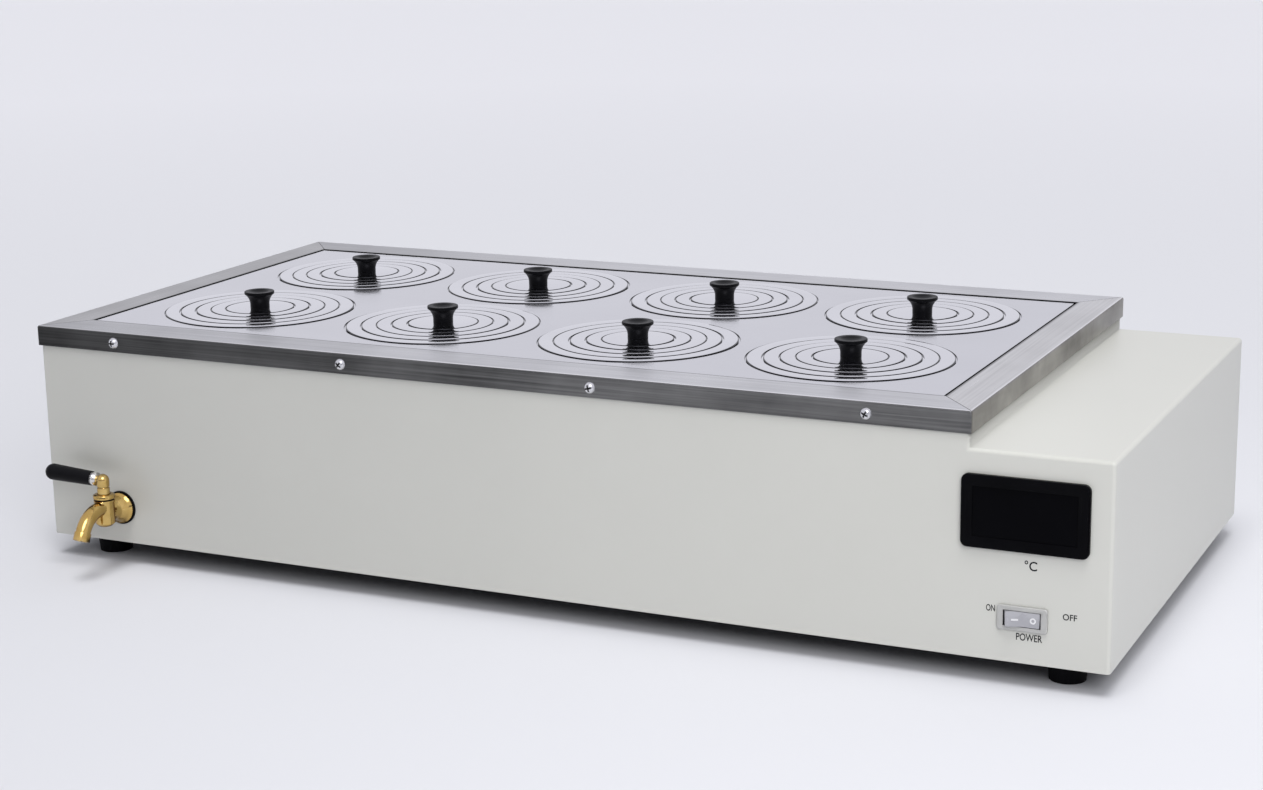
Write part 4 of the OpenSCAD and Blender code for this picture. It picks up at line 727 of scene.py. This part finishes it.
flare = knob_lip_r - knob_waist_r - lip_under_w
flare_h = knob_h - knob_lip_h - waist_z
flare_r = (flare ** 2 + flare_h ** 2) / (2 * flare)
flare_line = []
for k in range(13):
    z = flare_h * k / 12
    flare_line.append((knob_waist_r + flare_r - (flare_r ** 2 - z ** 2) ** 0.5, waist_z + z))
dish_w = knob_lip_r - lip_ring_w
dish_r = (dish_w ** 2 + dish_depth ** 2) / (2 * dish_depth)
dish_line = []
for k in range(9):
    r = dish_w * (1 - k / 8)
    dish_line.append((r, knob_h + dish_r - dish_depth - (dish_r ** 2 - r ** 2) ** 0.5))
lip = softened([flare_line[-1], (knob_lip_r, knob_h - knob_lip_h + lip_under_h), (knob_lip_r, knob_h),
                dish_line[0]], lip_edge, 4)[5:-5]
knob_foot = 0.0015
knob_section = [(0.0, knob_foot), (knob_waist_r - foot_edge, knob_foot), (knob_waist_r, knob_foot + foot_edge)]
knob_section += flare_line + lip + dish_line
lid_rise, lid_dome, lid_roll = first_rise + 5 * ring_rise, 0.0005, 0.0007
lid_edge = [(lid_r - lid_roll * (1 - sin(pi / 8 * k)), lid_rise - lid_roll * (1 - cos(pi / 8 * k)))
            for k in range(5)]
lid_face = [((lid_r - lid_roll) * k / 12, lid_rise + lid_dome * (1 - (k / 12) ** 2)) for k in range(12)]
lid_section = lid_face + lid_edge + [(lid_r, lid_rise - sheet), (0.0, lid_rise - sheet)]
for n, (x, y) in enumerate(hole_middles, 1):
    for k in range(1, 6):
        x += ring_shift * cos(turn_per_hole * n + turn_per_ring * k)
        y += ring_shift * sin(turn_per_hole * n + turn_per_ring * k)
    body = f"lid_set_{n}"
    lid_shape = turned(lid_section, (x, y, plate_high.z), 120)
    screw = screw_head.data.copy()
    screw.transform(Matrix.Translation((x, y, plate_high.z + lid_rise - sheet)) @ Matrix.Rotation(pi, 4, "X"))
    lid_shape.from_mesh(screw)
    knob_shape = turned(knob_section, (x, y, plate_high.z), 96)
    for shape, name, slot, finish, node in (
            (lid_shape, f"lid_disc_{n}", "stainless_polished", ring_steel, f"lid_{n}"),
            (knob_shape, f"turned_knob_{n}", "black_phenolic", phenolic, f"knob_{n}")):
        piece_from(to_mesh(shape, name), name, body, [finish], node)
bpy.data.objects.remove(screw_head)

# ---------- Heating tube, shelf and probe ----------
# A stainless-sheathed heating tube is bent through half a turn over the tank's floor, under a perforated
# shelf. The slim probe lies between its legs. Brass glands and nuts seal them in the tank's right wall.
tube_steel = coated("tube_steel", (0.24, 0.22, 0.20), (0.42, 0.40, 0.38), 0.34, 600.0, 0.08, 25.0, metal=1.0)
shelf_steel = brushed("shelf_steel", (0.50, 0.50, 0.51), (0.64, 0.64, 0.66), 0.28, (14.0, 700.0, 700.0))
brass = coated("cast_brass", (0.52, 0.32, 0.075), (0.84, 0.62, 0.25), 0.13, 900.0, 0.06, 90.0, metal=1.0)
# Brass is painted dark brown where it is seen edge on: painted dark reflection along its outlines
brass_tree = brass.node_tree
brass_shader = brass_tree.nodes["Principled BSDF"]
brass_edge = add(brass_tree, "ShaderNodeLayerWeight", {"Blend": 0.30})
brass_face = brass_shader.inputs["Base Color"].links[0].from_socket
brass_edge_dark = between(brass_tree, brass_edge.outputs["Facing"], brass_face, (0.16, 0.065, 0.012))
brass_tree.links.new(brass_edge_dark, brass_shader.inputs["Base Color"])
for node, body, slot, material in (("heater_element", "bath", "stainless_tube", tube_steel),
                                   ("probe", "bath", "stainless_tube", tube_steel),
                                   ("shelf", "shelf", "stainless_brushed", shelf_steel),
                                   ("heater_nuts", "bath", "brass", brass),
                                   ("probe_gland", "bath", "brass", brass)):
    dressed(node, node + "_piece", body, slot, material)

# ---------- Drain tap ----------
# Cast and polished brass: a body with a flange, an upright barrel and a curved spout, a plug that turns
# in the barrel under a bonnet, and a lever with a black moulded grip. A locknut holds it in the tank.
red_silicone = coated("red_silicone", (0.34, 0.055, 0.03), (0.46, 0.09, 0.05), 0.55, 900.0, 0.15, 60.0)
aluminium = coated("aluminium", (0.50, 0.50, 0.52), (0.62, 0.62, 0.64), 0.38, 1500.0, 0.15, 60.0, metal=1.0)
grip_plastic = coated("grip_plastic", (0.002, 0.002, 0.003), (0.004, 0.004, 0.005), 0.40, 1800.0, 0.10, 120.0,
                      gloss=0.10)
pale_collar_metal = coated("nickel_plating", (0.70, 0.68, 0.66), (0.84, 0.82, 0.80), 0.16, 900.0, 0.04, 90.0, metal=1.0)
for node, body in (("tap_body", "bath"), ("tap_locknut", "bath"), ("tap_bonnet", "bath"),
                   ("tap_plug", "tap_handle")):
    dressed(node, node + "_piece", body, "brass", brass)
dressed("tap_grip", "tap_grip_piece", "tap_handle", "black_moulding", grip_plastic)
# The lever's collar beside the grip is given a pale silvery metal, lighter than the brass
lever = dressed("tap_lever", "tap_lever_piece", "tap_handle", "brass", brass, pale_collar_metal)
collar_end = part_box("tap_grip")[1].x + 0.0050
for face in lever.data.polygons:
    if face.center.x < collar_end:
        face.material_index = 1
give("tap_gasket", black_rubber)
give("tap_o_ring", black_rubber)
give("tap_washer", red_silicone)
give("tap_spacer", aluminium)

# ---------- Display ----------
# A moulded black frame with a smoked window let into it. Behind the window stands a circuit board with
# four unlit digits. The frame clips into the front of the control box.
bezel_plastic = coated("bezel_plastic", (0.0015, 0.0015, 0.002), (0.003, 0.003, 0.004), 0.36, 2200.0, 0.18,
                       60.0, gloss=0.04)
board_green = coated("board_green", (0.02, 0.10, 0.04), (0.04, 0.16, 0.07), 0.42, 500.0, 0.1, 80.0)
dressed("display_bezel", "display_frame", "bath", "black_moulding", bezel_plastic)
window_glass = coated("window_glass", (0.001, 0.001, 0.0015), (0.002, 0.002, 0.003), 0.07, 60.0, 0.01, 20.0,
                      gloss=0.03)
give("display_window", window_glass)
give("display_board", board_green)

# ---------- Power switch ----------
# A light grey moulded rocker switch in a matching frame. The rocker tilts on two pins and carries a
# raised dash for on and a raised ring for off.
switch_grey = coated("switch_grey", (0.42, 0.42, 0.41), (0.49, 0.49, 0.48), 0.30, 1500.0, 0.06, 60.0)
rocker_grey = coated("rocker_grey", (0.34, 0.34, 0.37), (0.41, 0.41, 0.44), 0.26, 1500.0, 0.05, 60.0)
switch_shade = coated("switch_shade", (0.015, 0.015, 0.017), (0.03, 0.03, 0.033), 0.5, 1500.0, 0.06, 60.0)
dressed("switch_rocker", "switch_rocker_piece", "rocker", "grey_switch", rocker_grey)
# The well behind the rocker is in shade
switch_body = dressed("switch_body", "switch_body_piece", "bath", "grey_switch", switch_grey, switch_shade)
well_low, well_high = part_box("switch_rocker")
well_play = 0.0006
for face in switch_body.data.polygons:
    inside = (well_low.x - well_play < face.center.x < well_high.x + well_play
              and well_low.z - well_play < face.center.z < well_high.z + well_play)
    if inside and face.normal.y > -0.9:
        face.material_index = 1

mark_white = coated("mark_white", (0.74, 0.74, 0.76), (0.82, 0.82, 0.84), 0.4, 2000.0, 0.05, 200.0)
rocker_fold, rocker_bend, mark_proud = in_housing(678.5, -1.86, 26.4), radians(16), 0.00015
dash_off, dash_l, dash_h = -0.0044, 0.0040, 0.0010
circle_off, circle_inner_r, circle_outer_r = 0.0060, 0.0009, 0.0018
dash = bmesh.new()
bmesh.ops.create_cube(dash, size=1.0, matrix=Matrix.Translation(rocker_fold)
                      @ Matrix.Rotation(rocker_bend, 4, "Z") @ Matrix.Translation((dash_off, 0, 0))
                      @ Matrix.Diagonal((dash_l, 2 * mark_proud, dash_h, 1)))
circle = turned([(circle_inner_r, -mark_proud), (circle_outer_r, -mark_proud), (circle_outer_r, mark_proud),
                 (circle_inner_r, mark_proud)], steps=40)
circle.transform(Matrix.Translation(rocker_fold + Vector((circle_off, 0, 0))) @ Matrix.Rotation(pi / 2, 4, "X"))
for shape, name in ((dash, "mark_dash"), (circle, "mark_circle")):
    piece_from(to_mesh(shape, name), name, "rocker", [mark_white])

# ---------- Printed marks ----------
# Screen-printed on the panel in dark grey ink: the degree sign under the display, and the switch's
# positions and purpose around it. The letters are thin and condensed.
ink_proud, letter_depth, letter_weight, depth_scale = 0.00004, 0.004, 0.012, 0.005
ink = coated("printing_ink", (0.004, 0.004, 0.006), (0.010, 0.010, 0.014), 0.5, 3000.0, 0.1, 300.0, gloss=0.2)


def printed(text, left, right, low, high, name):
    """A word set to fit between two sides and two heights on the panel, a hair in front of the paint."""
    lettering = bpy.data.curves.new(name, "FONT")
    lettering.body, lettering.extrude, lettering.offset = text, letter_depth, letter_weight
    holder = loose_object(lettering, name)
    mesh = shown_mesh(holder)
    bpy.data.objects.remove(holder)
    xs, ys = [v.co.x for v in mesh.vertices], [v.co.y for v in mesh.vertices]
    start, end = in_housing(left, 0, low), in_housing(right, 0, high)
    scale_x, scale_y = (end.x - start.x) / (max(xs) - min(xs)), (end.z - start.z) / (max(ys) - min(ys))
    for vertex in mesh.vertices:
        x, y, z = vertex.co
        vertex.co = (start.x + (x - min(xs)) * scale_x, start.y - ink_proud - z * depth_scale,
                     start.z + (y - min(ys)) * scale_y)
    piece_from(mesh, name, "bath", [ink])


printed("°C", 678.4, 685.7, 55.2, 61.0, "mark_degrees")
printed("ON", 656.7, 661.9, 28.8, 32.7, "mark_on")
printed("OFF", 701.0, 709.1, 28.8, 32.5, "mark_off")
printed("POWER", 674.5, 689.6, 13.6, 17.9, "mark_power")

# ---------- Electrical parts ----------
# Inside the control box: a circuit board on pillars, a small transformer with its laminated core, and
# the relay that switches the heater, on its finned heat sink.
laminations = coated("laminations", (0.10, 0.10, 0.11), (0.20, 0.20, 0.21), 0.5, 400.0, 0.2, 60.0, metal=0.6)
give("control_board", board_green)
give("transformer", laminations)
give("heater_relay", aluminium)

# ---------- Rear fittings ----------
# A moulded cord gland with a domed cap, and a panel fuse holder with a slotted cap, both black.
for node in ("cord_gland", "fuse_holder"):
    dressed(node, node + "_piece", "bath", "black_moulding", bezel_plastic)

# ---------- Floor, light and camera ----------
# A plain pale floor under soft studio light, and a camera at the height of a standing bench.
floor_paper, floor_tree, floor_shader = finish_nodes("floor_paper", rough=0.75)
floor_far = add(floor_tree, "ShaderNodeVectorMath", {0: object_place(floor_tree)}, operation="LENGTH")
floor_fade = ramp(floor_tree, floor_far.outputs["Value"], 0.0, 1.0, 0.7, 3.0)
floor_tree.links.new(between(floor_tree, floor_fade, (0.74, 0.745, 0.785), (0.84, 0.84, 0.885)),
                     floor_shader.inputs["Base Color"])
floor_shader.inputs["Specular IOR Level"].default_value = 0.2
floor_mesh = bpy.data.meshes.new("floor")
floor_mesh.from_pydata([(-6, -6, 0), (6, -6, 0), (6, 6, 0), (-6, 6, 0)], [], [(0, 1, 2, 3)])
floor = loose_object(floor_mesh, "floor")
floor.data.materials.append(floor_paper)

world = bpy.data.worlds.new("studio")
bpy.context.scene.world = world
world.use_nodes = True
sky = world.node_tree
sky_out = sky.nodes["World Output"]
soft_light = sky.nodes["Background"]
soft_light.inputs["Color"].default_value = (0.96, 0.965, 1.0, 1)
direction = add(sky, "ShaderNodeTexCoord").outputs["Generated"]
sky_side = vector_maths(sky, direction, (0.20, 0.65, 0.72), "DOT_PRODUCT")
sky.links.new(ramp(sky, sky_side, 0.05, 0.61, -0.8, 1.0), soft_light.inputs["Strength"])
backdrop = add(sky, "ShaderNodeBackground")
rays = add(sky, "ShaderNodeLightPath")
# A dark side low in front, which only reflections show
sky_front = vector_maths(sky, direction, (0.20, -0.95, 0.18), "DOT_PRODUCT")
sky_height = add(sky, "ShaderNodeSeparateXYZ", {0: direction}).outputs["Z"]
dark_low = maths(sky, ramp(sky, sky_front, 0.0, 1.0, 0.25, 0.85, "SMOOTHSTEP"),
                 ramp(sky, sky_height, 0.0, 1.0, 0.25, 0.05, "SMOOTHSTEP"), "MULTIPLY")
dark_side = maths(sky, dark_low, rays.outputs["Is Glossy Ray"], "MULTIPLY")
sky.links.new(between(sky, dark_side, (0.79, 0.79, 0.85), (0.10, 0.10, 0.11)), backdrop.inputs["Color"])
seen = maths(sky, maths(sky, rays.outputs["Is Camera Ray"], rays.outputs["Is Glossy Ray"], "MAXIMUM"),
             rays.outputs["Is Transmission Ray"], "MAXIMUM")
# A bright window high in front, for reflections; a camera that looks up at it shows it too
sky_window = vector_maths(sky, direction, (0.36, -0.55, 0.753), "DOT_PRODUCT")
sky.links.new(ramp(sky, sky_window, 1.0, 6.0, 0.93, 0.985, "SMOOTHSTEP"), backdrop.inputs["Strength"])
sky_mix = add(sky, "ShaderNodeMixShader", {0: seen, 1: soft_light.outputs[0], 2: backdrop.outputs[0]})
sky.links.new(sky_mix.outputs[0], sky_out.inputs["Surface"])


def hang(lamp, at, way):
    """Hangs a lamp so that it shines one way, unseen in reflections."""
    obj = loose_object(lamp, lamp.name)
    obj.location = at
    obj.rotation_euler = way.to_track_quat("-Z", "Y").to_euler()
    obj.visible_glossy = False


soft_box = bpy.data.lights.new("right_light", "AREA")
soft_box.shape, soft_box.size, soft_box.size_y = "RECTANGLE", 0.7, 0.7
soft_box.energy, soft_box.spread = 2.9, radians(90)
soft_box_place = Vector((0.95, -1.15, 0.9))
hang(soft_box, soft_box_place, Vector((0.25, 0, 0.3)) - soft_box_place)
sun = bpy.data.lights.new("high_light", "SUN")
sun.energy, sun.angle = 1.60, radians(30)
hang(sun, (0, 0, 0), Vector((-0.10, 0.28, -1.0)))

camera = bpy.data.cameras.new("camera")
camera.sensor_width = 36
camera.lens = camera.sensor_width * 2387.17 / 1263
turn_z, tip, roll = radians(-25.2522), radians(13.5027), radians(-0.89586)
ahead = Vector((sin(turn_z) * cos(tip), cos(turn_z) * cos(tip), -sin(tip)))
right = Vector((cos(turn_z), -sin(turn_z), 0))
up = right.cross(ahead)
level_right = cos(roll) * right + sin(roll) * up
level_up = -sin(roll) * right + cos(roll) * up
camera_object = loose_object(camera, "camera")
camera_object.matrix_world = Matrix.Translation(in_housing(1025.143, -1247.106, 465.974)) @ Matrix(
    (level_right, level_up, -ahead)).transposed().to_4x4()
bpy.context.scene.camera = camera_object
bpy.context.scene.view_settings.view_transform = "Standard"
